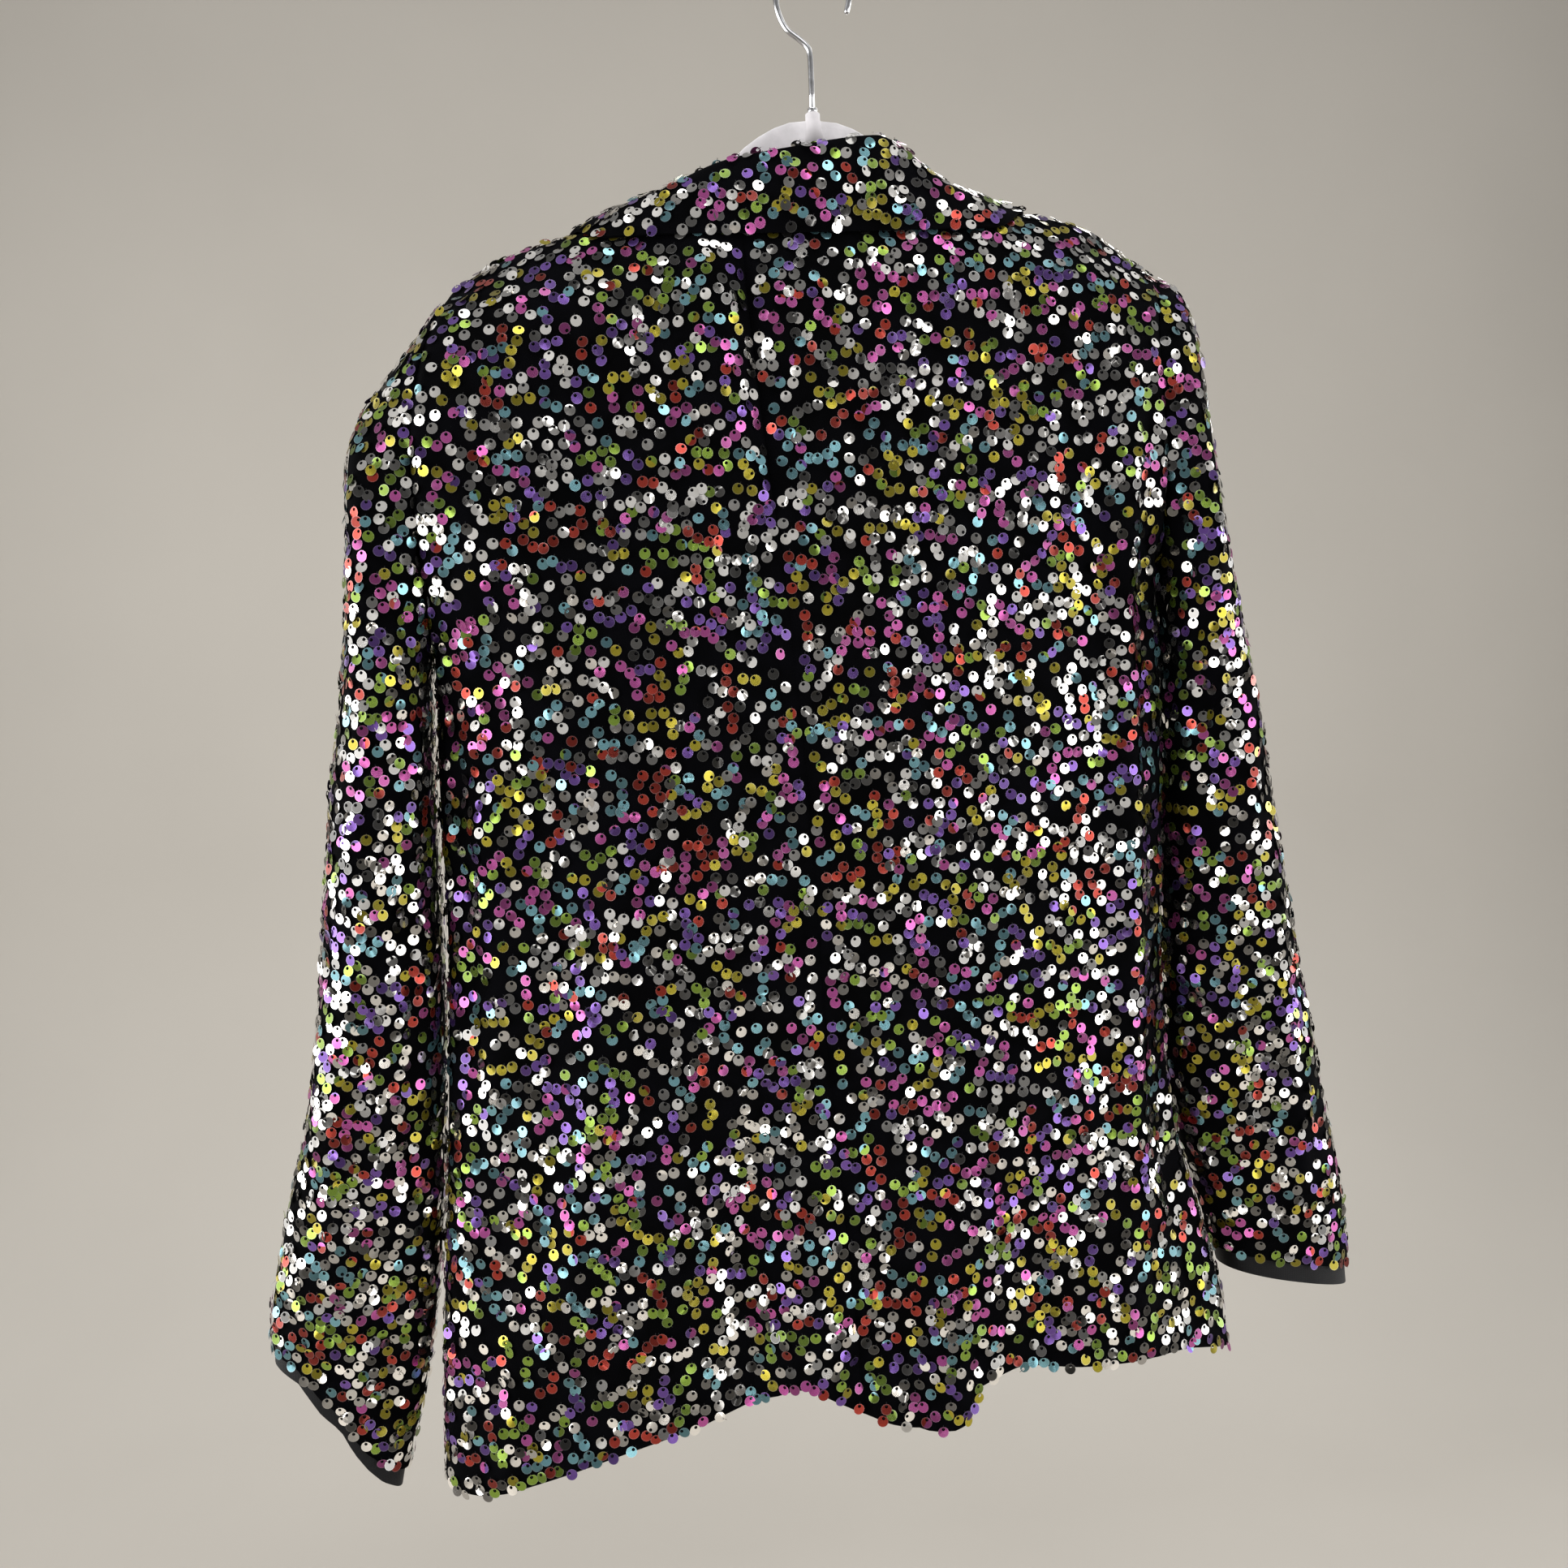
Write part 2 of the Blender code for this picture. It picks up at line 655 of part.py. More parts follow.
def clear_of_torso(points, lift):
    """Move points that come too near the torso out of its rounded top."""
    x, y, down = points[:, 0], points[:, 1], -points[:, 2]
    ridge = follow(RIDGE, "x", "down", x)
    deep = np.where(
        y < 0, follow(DEPTH, "down", "back", down), follow(DEPTH, "down", "front", down)
    )
    share = np.abs(x) / EDGE[RIGHT][1][1]
    deep = deep * np.sqrt(1 - np.clip(share, 0.0, 0.98) ** SIDE_SQUARE)
    rise = np.clip(ridge + RIDGE_ROUND - down, 0.0, None)
    reach = np.sqrt((y / (deep + lift)) ** 2 + (rise / (RIDGE_ROUND + lift)) ** 2)
    grow = 1 / np.clip(reach, 1e-6, 1.0)
    moved = points.copy()
    moved[:, 1] = y * grow
    moved[:, 2] = np.where(rise > 0, rise * grow - ridge - RIDGE_ROUND, points[:, 2])
    return moved


def collar_lines():
    """Seam, roll line and outer edge of the collar at its stations."""
    seam, roll, edge = [], [], []
    for face, seam_x, seam_down, roll_x, roll_out, roll_down, edge_x, edge_down in COLLAR[1:]:
        if face == 0:
            edge.append(np.array((edge_x, 0.0, FALL_LIFT - follow(RIDGE, "x", "down", edge_x))))
            seam.append(np.array((seam_x, 0.0, SEAM_LIFT - follow(RIDGE, "x", "down", seam_x))))
        else:
            side = side_of(edge_x, face, edge_down)
            edge.append(on_panel(side, face, edge_x, edge_down, FALL_LIFT))
            if face == BACK:
                seam_down = panel_top(BACK, seam_x) - SEAM_LIFT
            side = side_of(seam_x, face, seam_down)
            seam.append(on_panel(side, face, seam_x, seam_down, -CLOTH / 2))
            if face == FRONT:
                seam[-1] = seam[-1] - np.array((side * SEAM_INSIDE, 0.0006, 0.0))
        roll.append(np.array((roll_x, seam[-1][1] + face * roll_out, -roll_down)))
    return np.array(seam), np.array(roll), np.array(edge)


def resample(points, count):
    """The same line of points, smoothed to the given number of steps."""
    where = np.linspace(0.0, len(points) - 1.0, count + 1)
    i = np.clip(where.astype(int), 0, len(points) - 2)
    u = (where - i)[:, None]
    slope = np.gradient(points, axis=0)
    return (
        points[i] * (1 + 2 * u) * (1 - u) ** 2
        + points[i + 1] * (3 - 2 * u) * u**2
        + slope[i] * u * (1 - u) ** 2
        - slope[i + 1] * u**2 * (1 - u)
    )


def build_collar(surface):
    """Collar: a stand that rises from the neckline, rolls over and falls."""
    seam, roll, edge = (resample(line, COLLAR_STATIONS) for line in collar_lines())
    out = unit((edge - roll) * (1, 1, 0) + (roll - seam) * (0, 1, 0))
    across = unit(np.cross(np.gradient(roll, axis=0), edge - roll))
    across *= np.sign(np.sum(across * (0, 0, 1), axis=1, keepdims=True))
    inside = roll - out * ROLL_HALF + (seam - roll) * 0.12
    outside = roll + out * ROLL_HALF + (edge - roll) * 0.06
    rows = [seam, (seam + inside) / 2, inside, roll, outside]
    for i in range(1, FALL_ROWS + 1):
        v = i / FALL_ROWS
        bulge = across * FALL_BULGE * 4 * v * (1 - v)
        rows.append(clear_of_torso(outside + (edge - outside) * v + bulge, FALL_LIFT))
    middle = np.array(rows)
    normals = grid_normals(middle)
    normals *= np.sign(np.sum(normals[-2] * across, axis=1).mean())
    shell("collar", middle + normals * CLOTH / 2, normals, surface)


def build_lapel(side, word, surface):
    """Turned-back top of a front, lying on the front that it belongs to."""
    t, s = np.meshgrid(
        np.linspace(0.0, 1.0, LAPEL_ROWS + 1), np.linspace(0.0, 1.0, LAPEL_COLUMNS + 1), indexing="ij"
    )
    wide = LAPEL_WIDE * (1 - t**LAPEL_BEND)
    down = LAPEL_TOP + (LAPEL_FOOT - LAPEL_TOP) * t + (LAPEL_RISE * (1 - t) ** 3) * s
    x = follow(FRONT_EDGE[side], "down", "x", down) + side * (GAP + (wide + LAPEL_SPARE) * s)
    grid = on_panel(side, FRONT, x, down, LAPEL_LIFT)
    normals = grid_normals(grid)
    normals *= np.sign(normals[..., 1].mean())
    shell("lapel_" + word, grid, normals, surface)


def closed_tube(name, sections, surface, sharp=40):
    """Solid through a row of closed sections, with a flat cap at each end."""
    count = sections.shape[1]
    faces = []
    for i in range(len(sections) - 1):
        for j in range(count):
            a, b = i * count + j, i * count + (j + 1) % count
            faces.append((a, b, b + count, a + count))
    faces.append(tuple(range(count))[::-1])
    faces.append(tuple(range((len(sections) - 1) * count, len(sections) * count)))
    made = add_object(name, sections.reshape(-1, 3), faces, surface, sharp)
    turn_outward(made)
    return made


def round_bar(name, centre, radii, heights, surface, sides=24):
    """Upright round solid from radii and heights."""
    angles = np.arange(sides) * 2 * pi / sides
    circle = np.stack([np.cos(angles), np.sin(angles), np.zeros(sides)], axis=-1)
    sections = np.array([circle * r + np.array((centre[0], centre[1], z)) for r, z in zip(radii, heights)])
    return closed_tube(name, sections, surface)


def build_button(surface):
    """Plain flat button with a softened rim, on the lapped front."""
    place = on_panel(RIGHT, FRONT, np.array(BUTTON_X), np.array(BUTTON_DOWN), 2 * GAP)
    angles = np.arange(BUTTON_SIDES) * 2 * pi / BUTTON_SIDES
    circle = np.stack([np.cos(angles), np.zeros(BUTTON_SIDES), np.sin(angles)], axis=-1)
    profile = ((0.84, 0.0), (1.0, 0.25), (1.0, 0.75), (0.9, 1.0), (0.7, 0.8))
    sections = [
        place + circle * BUTTON_RADIUS * r + np.array((0.0, BUTTON_THICK * y, 0.0)) for r, y in profile
    ]
    closed_tube("button", np.array(sections), surface)


def build_hanger(surface):
    """Flat flocked hanger: two arms, a rounded hump and a bored neck."""
    arm = column(HANGER_ARM, "x")
    spine = np.concatenate([-arm[:0:-1], arm])
    reach = np.abs(spine)
    top = follow(HANGER_ARM, "x", "top", reach)
    bottom = follow(HANGER_ARM, "x", "bottom", reach)
    angles = (np.arange(HANGER_SIDES) + 0.5) * 2 * pi / HANGER_SIDES
    round_y = np.sign(np.cos(angles)) * np.abs(np.cos(angles)) ** 0.5
    round_z = np.sign(np.sin(angles)) * np.abs(np.sin(angles)) ** 0.3
    sections = []
    for x, high, low in zip(spine, top, bottom):
        y = round_y * HANGER_THICK / 2
        z = -(high + low) / 2 + round_z * (low - high) / 2
        sections.append(np.stack([np.full_like(y, x), y, z], axis=-1))
    body = closed_tube("hanger_body", np.array(sections), surface)
    boss = round_bar(
        "neck_boss",
        (0.0, 0.0),
        (NECK_RADIUS * 1.5, NECK_RADIUS * 1.15, NECK_RADIUS, NECK_RADIUS, NECK_RADIUS * 0.85),
        (-NECK_FOOT, -NECK_FLARE, -NECK_WAIST, -NECK_TOP - 0.0006, -NECK_TOP),
        surface,
    )
    bore_foot = -NECK_TOP - BORE_DEEP
    bore_radius = HOOK_RADIUS + GAP
    bore = round_bar("neck_bore", (0.0, 0.0), (bore_radius, bore_radius), (bore_foot, 0.0), surface)
    for tool, action in ((boss, "UNION"), (bore, "DIFFERENCE")):
        cut = body.modifiers.new(tool.name, "BOOLEAN")
        cut.solver = "EXACT"
        cut.operation = action
        cut.object = tool
        tool.hide_render = True
        tool.display_type = "WIRE"
    return body


def build_hook(surface):
    """Wire hook swept along its path, with a rounded tip."""
    path = np.stack([column(HOOK, "x"), np.zeros(len(HOOK) - 1), column(HOOK, "z")], axis=-1)
    path = resample(path, 3 * (len(path) - 1))
    along = unit(np.gradient(path, axis=0))
    aside = np.array((0.0, 1.0, 0.0))
    across = unit(np.cross(along, aside))
    angles = np.arange(HOOK_SIDES) * 2 * pi / HOOK_SIDES
    sections = [
        p + HOOK_RADIUS * (np.outer(np.cos(angles), c) + np.outer(np.sin(angles), aside))
        for p, c in zip(path, across)
    ]
    tip, ahead, c = path[-1], along[-1], across[-1]
    for turn in (30, 60, 80):
        radius = HOOK_RADIUS * cos(turn * pi / 180)
        middle = tip + ahead * HOOK_RADIUS * sin(turn * pi / 180)
        sections.append(
            middle + radius * (np.outer(np.cos(angles), c) + np.outer(np.sin(angles), aside))
        )
    closed_tube("hanger_hook", np.array(sections), surface, sharp=50)


def main():
    for old in list(bpy.data.objects):
        bpy.data.objects.remove(old)
    cloth = material("black_sequin_cloth", BLACK_CLOTH, 0.8)
    band = material("black_band_cloth", BLACK_BAND, 0.6)
    plastic = material("black_button", BLACK_BUTTON, 0.35)
    flock = material("pale_flock", PALE_FLOCK, 0.95)
    wire = material("bright_wire", BRIGHT_WIRE, 0.18, 1.0)
    for side, word in ((LEFT, "left"), (RIGHT, "right")):
        build_panel("back_" + word, side, BACK, cloth)
        build_panel("front_" + word, side, FRONT, cloth)
        build_sleeve(side, word, cloth)
        build_band(side, word, band)
        build_lapel(side, word, cloth)
    build_collar(cloth)
    build_button(plastic)
    build_hanger(flock)
    build_hook(wire)


main()
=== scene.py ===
"""Sequin blazer hanging on a flat flocked hanger, seen from its back.

Metres. The origin is the inner top of the hook, where a rail would carry it.
+X is the wearer's right, +Y is the garment's front and +Z is up.
Heights in the tables are given as "down", the drop below the origin.
"""

from math import cos, pi, radians, sin

import bpy
import numpy as np
from mathutils import Matrix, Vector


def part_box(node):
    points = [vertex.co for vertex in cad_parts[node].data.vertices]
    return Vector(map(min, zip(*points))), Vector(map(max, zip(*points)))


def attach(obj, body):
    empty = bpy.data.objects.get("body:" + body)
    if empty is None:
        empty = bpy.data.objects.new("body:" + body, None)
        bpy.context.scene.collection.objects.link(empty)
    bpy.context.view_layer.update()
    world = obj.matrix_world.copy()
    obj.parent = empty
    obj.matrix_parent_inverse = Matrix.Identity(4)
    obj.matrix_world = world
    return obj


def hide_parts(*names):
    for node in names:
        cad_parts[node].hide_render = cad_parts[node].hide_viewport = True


bl_info = {
    "name": "Sequin Blazer",
    "version": (1, 0, 0),
    "blender": (4, 5, 0),
    "location": "View3D > Sidebar > Blazer",
    "description": "Cloth, sequins and hanger of a sequin blazer around its packed frame",
    "category": "Object",
}

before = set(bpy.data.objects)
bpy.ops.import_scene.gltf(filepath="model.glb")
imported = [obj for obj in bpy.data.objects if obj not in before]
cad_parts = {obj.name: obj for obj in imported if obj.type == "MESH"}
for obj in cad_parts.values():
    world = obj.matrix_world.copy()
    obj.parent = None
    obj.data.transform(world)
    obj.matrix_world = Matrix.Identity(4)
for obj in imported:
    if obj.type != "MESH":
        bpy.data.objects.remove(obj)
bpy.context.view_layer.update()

BODY = "root"

# Cloth and seams
CLOTH = 0.002
GAP = 0.0003
LAP = CLOTH + 2 * GAP

# Sides and faces of the torso
LEFT, RIGHT = -1, 1
BACK, FRONT = -1, 1
SIDES = {"left": LEFT, "right": RIGHT}
FACES = {"back": BACK, "front": FRONT}

# Least divisors, so that nothing is divided by zero
LEAST_LENGTH = 1e-12
LEAST_REACH = 1e-6

# Outer edge of the torso on each side: armhole first, then side seam
EDGE = {
    LEFT: (
        ("down", "x"),
        (0.209, -0.232), (0.25, -0.245), (0.3, -0.254), (0.35, -0.252), (0.42, -0.25), (0.5, -0.252),
        (0.6, -0.252), (0.68, -0.256), (0.77, -0.262), (0.85, -0.268), (0.945, -0.272),
    ),
    RIGHT: (
        ("down", "x"),
        (0.196, 0.218), (0.23, 0.209), (0.27, 0.206), (0.32, 0.208), (0.385, 0.211), (0.44, 0.214),
        (0.54, 0.213), (0.65, 0.209), (0.75, 0.216), (0.81, 0.231), (0.86, 0.244), (0.9, 0.249),
    ),
}
TIP_DOWN = {LEFT: 0.209, RIGHT: 0.196}
UNDERARM_DOWN = {LEFT: 0.420, RIGHT: 0.385}
ARMHOLE_DEPTH = 0.047
ARMHOLE_SQUARE = 1.1

# Top line of the cloth over the hanger, through both shoulder seams
RIDGE = (
    ("x", "down"),
    (-0.236, 0.212), (-0.223, 0.2005), (-0.208, 0.192), (-0.19, 0.183), (-0.169, 0.1755), (-0.15, 0.17),
    (-0.12, 0.16), (-0.09, 0.15), (-0.05, 0.147), (0.0, 0.145), (0.05, 0.1465), (0.085, 0.1505),
    (0.12, 0.157), (0.15, 0.1605), (0.166, 0.1645), (0.185, 0.174), (0.206, 0.188), (0.22, 0.1975),
)
RIDGE_ROUND = 0.070
# A point this near the shoulder line lies on the shoulder seam
ON_RIDGE = RIDGE_ROUND / 100
# Beyond this share of its half width the torso isn't taken as rounded any more
ROUND_UP_TO = 0.98

# Neck opening between the two ends of the shoulder seams
NECK_X = {LEFT: -0.108, RIGHT: 0.084}
NECK_SIDE_DOWN = 0.150
NECK_DROP = 0.022
NECK_FLAT = 0.8

# Half depth of the torso behind and before the shoulder line
DEPTH = (
    ("down", "back", "front"),
    (0.15, 0.05, 0.05), (0.25, 0.054, 0.054), (0.35, 0.057, 0.058), (0.5, 0.055, 0.056),
    (0.7, 0.052, 0.052), (0.95, 0.056, 0.054),
)
SIDE_SQUARE = 4.0

# Centre-back seam
BACK_SEAM = (
    ("down", "x"),
    (0.21, -0.053), (0.304, -0.046), (0.42, -0.036), (0.527, -0.029), (0.652, -0.025), (0.79, -0.017),
    (0.9, -0.01),
)

# Hems across the body, left to right
HEM_DOWN = 0.95
BACK_HEM = (
    ("x", "down"),
    (-0.272, 0.936), (-0.25, 0.937), (-0.205, 0.925), (-0.16, 0.911), (-0.1, 0.895), (-0.058, 0.885),
    (-0.03, 0.886), (-0.012, 0.897), (0.006, 0.909), (0.026, 0.9135), (0.046, 0.9115), (0.06, 0.901),
    (0.074, 0.8915), (0.12, 0.89), (0.16, 0.891), (0.207, 0.889), (0.249, 0.901),
)
FRONT_HEM = (
    ("x", "down"),
    (-0.272, 0.936), (-0.15, 0.938), (0.0, 0.92), (0.12, 0.908), (0.249, 0.901),
)

# Inner edge of each front: roll line down to the button, then the edge
FRONT_EDGE = {
    LEFT: (
        ("down", "x"),
        (0.1545, -0.108), (0.25, -0.073), (0.35, -0.034), (0.45, 0.008), (0.52, 0.036), (0.56, 0.042),
        (0.7, 0.046), (0.95, 0.052),
    ),
    RIGHT: (
        ("down", "x"),
        (0.1505, 0.084), (0.25, 0.063), (0.35, 0.038), (0.45, 0.012), (0.52, -0.004), (0.56, 0.0),
        (0.7, 0.006), (0.95, 0.012),
    ),
}
LAP_EASE = 0.060

# Largest folds of the back and the fronts. Each runs from a top to a foot: the
# place across and drop of both, its half width, and its height, a ridge above
# zero or a trough below.
FOLDS = {
    BACK: (
        (0.186, 0.24, 0.162, 0.9, 0.018, 0.009), (0.13, 0.3, 0.12, 0.78, 0.024, -0.001),
        (-0.078, 0.18, -0.064, 0.33, 0.013, 0.008), (-0.052, 0.185, -0.045, 0.35, 0.009, -0.006),
        (-0.135, 0.56, -0.2, 0.88, 0.016, 0.008), (-0.175, 0.52, -0.235, 0.9, 0.02, -0.006),
        (-0.075, 0.7, -0.085, 0.96, 0.018, -0.01), (-0.045, 0.74, -0.04, 0.96, 0.014, 0.008),
        (0.045, 0.76, 0.045, 0.99, 0.026, 0.01), (0.098, 0.8, 0.105, 0.98, 0.014, -0.007),
        (0.13, 0.64, 0.06, 0.8, 0.016, 0.005),
    ),
    FRONT: (
        (0.176, 0.25, 0.165, 0.9, 0.02, 0.007), (-0.2, 0.26, -0.205, 0.92, 0.022, 0.007),
        (-0.12, 0.56, -0.13, 0.98, 0.026, -0.008), (0.1, 0.56, 0.11, 0.96, 0.024, -0.008),
    ),
}

# Sleeves: outer and inner profile, depth and forward swing at each ring
SLEEVE = {
    LEFT: (
        ("outer_x", "outer_down", "inner_x", "inner_down", "depth", "forward"),
        (-0.232, 0.209, -0.25, 0.42, 0.047, 0.0), (-0.249, 0.233, -0.2515, 0.427, 0.048, 0.001),
        (-0.2695, 0.258, -0.252, 0.434, 0.049, 0.002), (-0.288, 0.285, -0.2525, 0.441, 0.05, 0.003),
        (-0.2938, 0.318, -0.253, 0.449, 0.051, 0.004), (-0.2956, 0.356, -0.2532, 0.458, 0.052, 0.005),
        (-0.2994, 0.4, -0.2535, 0.469, 0.052, 0.006), (-0.3057, 0.448, -0.254, 0.485, 0.051, 0.007),
        (-0.3145, 0.5, -0.2545, 0.508, 0.05, 0.008), (-0.3193, 0.54, -0.2545, 0.542, 0.048, 0.009),
        (-0.324, 0.58, -0.2545, 0.58, 0.046, 0.01), (-0.3288, 0.62, -0.255, 0.62, 0.044, 0.011),
        (-0.3335, 0.66, -0.2565, 0.662, 0.042, 0.012), (-0.3405, 0.7, -0.259, 0.705, 0.04, 0.013),
        (-0.3495, 0.736, -0.262, 0.748, 0.037, 0.014), (-0.3588, 0.768, -0.2655, 0.792, 0.034, 0.015),
        (-0.365, 0.798, -0.273, 0.844, 0.031, 0.015), (-0.3703, 0.819, -0.282, 0.889, 0.025, 0.014),
        (-0.3725, 0.841, -0.2935, 0.931, 0.021, 0.013),
    ),
    RIGHT: (
        ("outer_x", "outer_down", "inner_x", "inner_down", "depth", "forward"),
        (0.218, 0.196, 0.211, 0.385, 0.047, 0.0), (0.2355, 0.211, 0.2125, 0.392, 0.048, 0.001),
        (0.242, 0.238, 0.2135, 0.399, 0.049, 0.002), (0.245, 0.27, 0.2145, 0.407, 0.05, 0.003),
        (0.2475, 0.305, 0.215, 0.416, 0.051, 0.004), (0.2526, 0.342, 0.2155, 0.427, 0.052, 0.005),
        (0.2588, 0.38, 0.216, 0.44, 0.052, 0.006), (0.2669, 0.423, 0.216, 0.459, 0.051, 0.007),
        (0.277, 0.47, 0.216, 0.485, 0.05, 0.008), (0.2851, 0.52, 0.2155, 0.524, 0.048, 0.009),
        (0.2923, 0.562, 0.215, 0.564, 0.046, 0.01), (0.2994, 0.604, 0.2145, 0.604, 0.044, 0.011),
        (0.3065, 0.646, 0.214, 0.644, 0.042, 0.012), (0.3153, 0.688, 0.215, 0.682, 0.04, 0.013),
        (0.322, 0.73, 0.218, 0.72, 0.037, 0.014), (0.3303, 0.768, 0.224, 0.756, 0.034, 0.015),
        (0.3365, 0.802, 0.233, 0.786, 0.032, 0.015), (0.3402, 0.834, 0.24, 0.814, 0.03, 0.015),
        (0.342, 0.861, 0.246, 0.842, 0.028, 0.015),
    ),
}
SLEEVE_ROUND = 2.3
SLEEVE_APART = 1.5 * GAP
# Rings over which the sleeve goes over from the armhole's shape to its own
BLEND_RINGS = 6
# Columns between which the under sleeve lies
UNDER_SLEEVE = (7, 13)

# Plain band inside each cuff, showing below the sequined cloth
BAND_HIDDEN = 0.018
BAND_SHOWN = {LEFT: 0.010, RIGHT: 0.014}

# Collar stations from the left front round the neck to the right front.
# The seam sits on the neckline and the edge on the panel that "face" names,
# 0 being the shoulder seam itself. "roll_out" is how far the roll line stands
# off the seam.
COLLAR = (
    ("face", "seam_x", "seam_down", "roll_x", "roll_out", "roll_down", "edge_x", "edge_down"),
    (FRONT, -0.0795, 0.232, -0.0765, 0.0040, 0.231, -0.150, 0.252),
    (FRONT, -0.0955, 0.190, -0.0925, 0.0040, 0.184, -0.160, 0.212),
    (FRONT, -0.1045, 0.162, -0.1010, 0.0040, 0.156, -0.158, 0.182),
    (0, -0.1055, 0.153, -0.1030, 0.0000, 0.1500, -0.153, 0.171),
    (BACK, -0.0930, 0.160, -0.0890, 0.0050, 0.1470, -0.138, 0.180),
    (BACK, -0.0600, 0.167, -0.0600, 0.0060, 0.1370, -0.092, 0.182),
    (BACK, -0.0200, 0.167, -0.0200, 0.0070, 0.1305, -0.035, 0.182),
    (BACK, 0.0160, 0.165, 0.0180, 0.0070, 0.1240, 0.020, 0.181),
    (BACK, 0.0480, 0.160, 0.0400, 0.0060, 0.1230, 0.072, 0.179),
    (BACK, 0.0720, 0.155, 0.0610, 0.0040, 0.1390, 0.112, 0.174),
    (0, 0.0812, 0.151, 0.0770, 0.0020, 0.1460, 0.134, 0.160),
    (FRONT, 0.0810, 0.168, 0.0765, 0.0040, 0.1600, 0.142, 0.182),
    (FRONT, 0.0750, 0.195, 0.0720, 0.0040, 0.1900, 0.146, 0.212),
    (FRONT, 0.0665, 0.232, 0.0635, 0.0040, 0.2310, 0.138, 0.252),
)
ROLL_HALF = 0.0022
SEAM_LIFT = 0.0009
SEAM_INSIDE = 0.0028
SEAM_BEHIND = 0.0006
FALL_LIFT = CLOTH / 2 + 0.0018
FALL_BULGE = 0.003
# Where the roll's two flanks lie, as shares of the stand and of the fall
STAND_SHARE = 0.12
FALL_SHARE = 0.06

# Lapels: top corner and point of the turned-back front
LAPEL_TOP = 0.2325
LAPEL_FOOT = 0.445
LAPEL_WIDE = 0.078
LAPEL_RISE = 0.026
LAPEL_LIFT = CLOTH + 0.0012
LAPEL_BEND = 1.6
LAPEL_SPARE = 0.004

# Places round an armhole, in degrees from the shoulder tip to the underarm
ARMHOLE_ANGLES = (0, 8, 22, 40, 60, 80, 100, 120, 140, 160, 180)
UNDER_ROW = len(ARMHOLE_ANGLES) - 1

# Rows and columns of the coarse grids that the cloth is refined from
BODY_ROWS = 14
PANEL_COLUMNS = 16
COLUMN_CROWD = 1.35
COLLAR_STATIONS = 32
FALL_ROWS = 5
LAPEL_ROWS = 9
LAPEL_COLUMNS = 5
# Times that the top of a panel is looked up, each from the last, until it settles
TOP_STEPS = 12

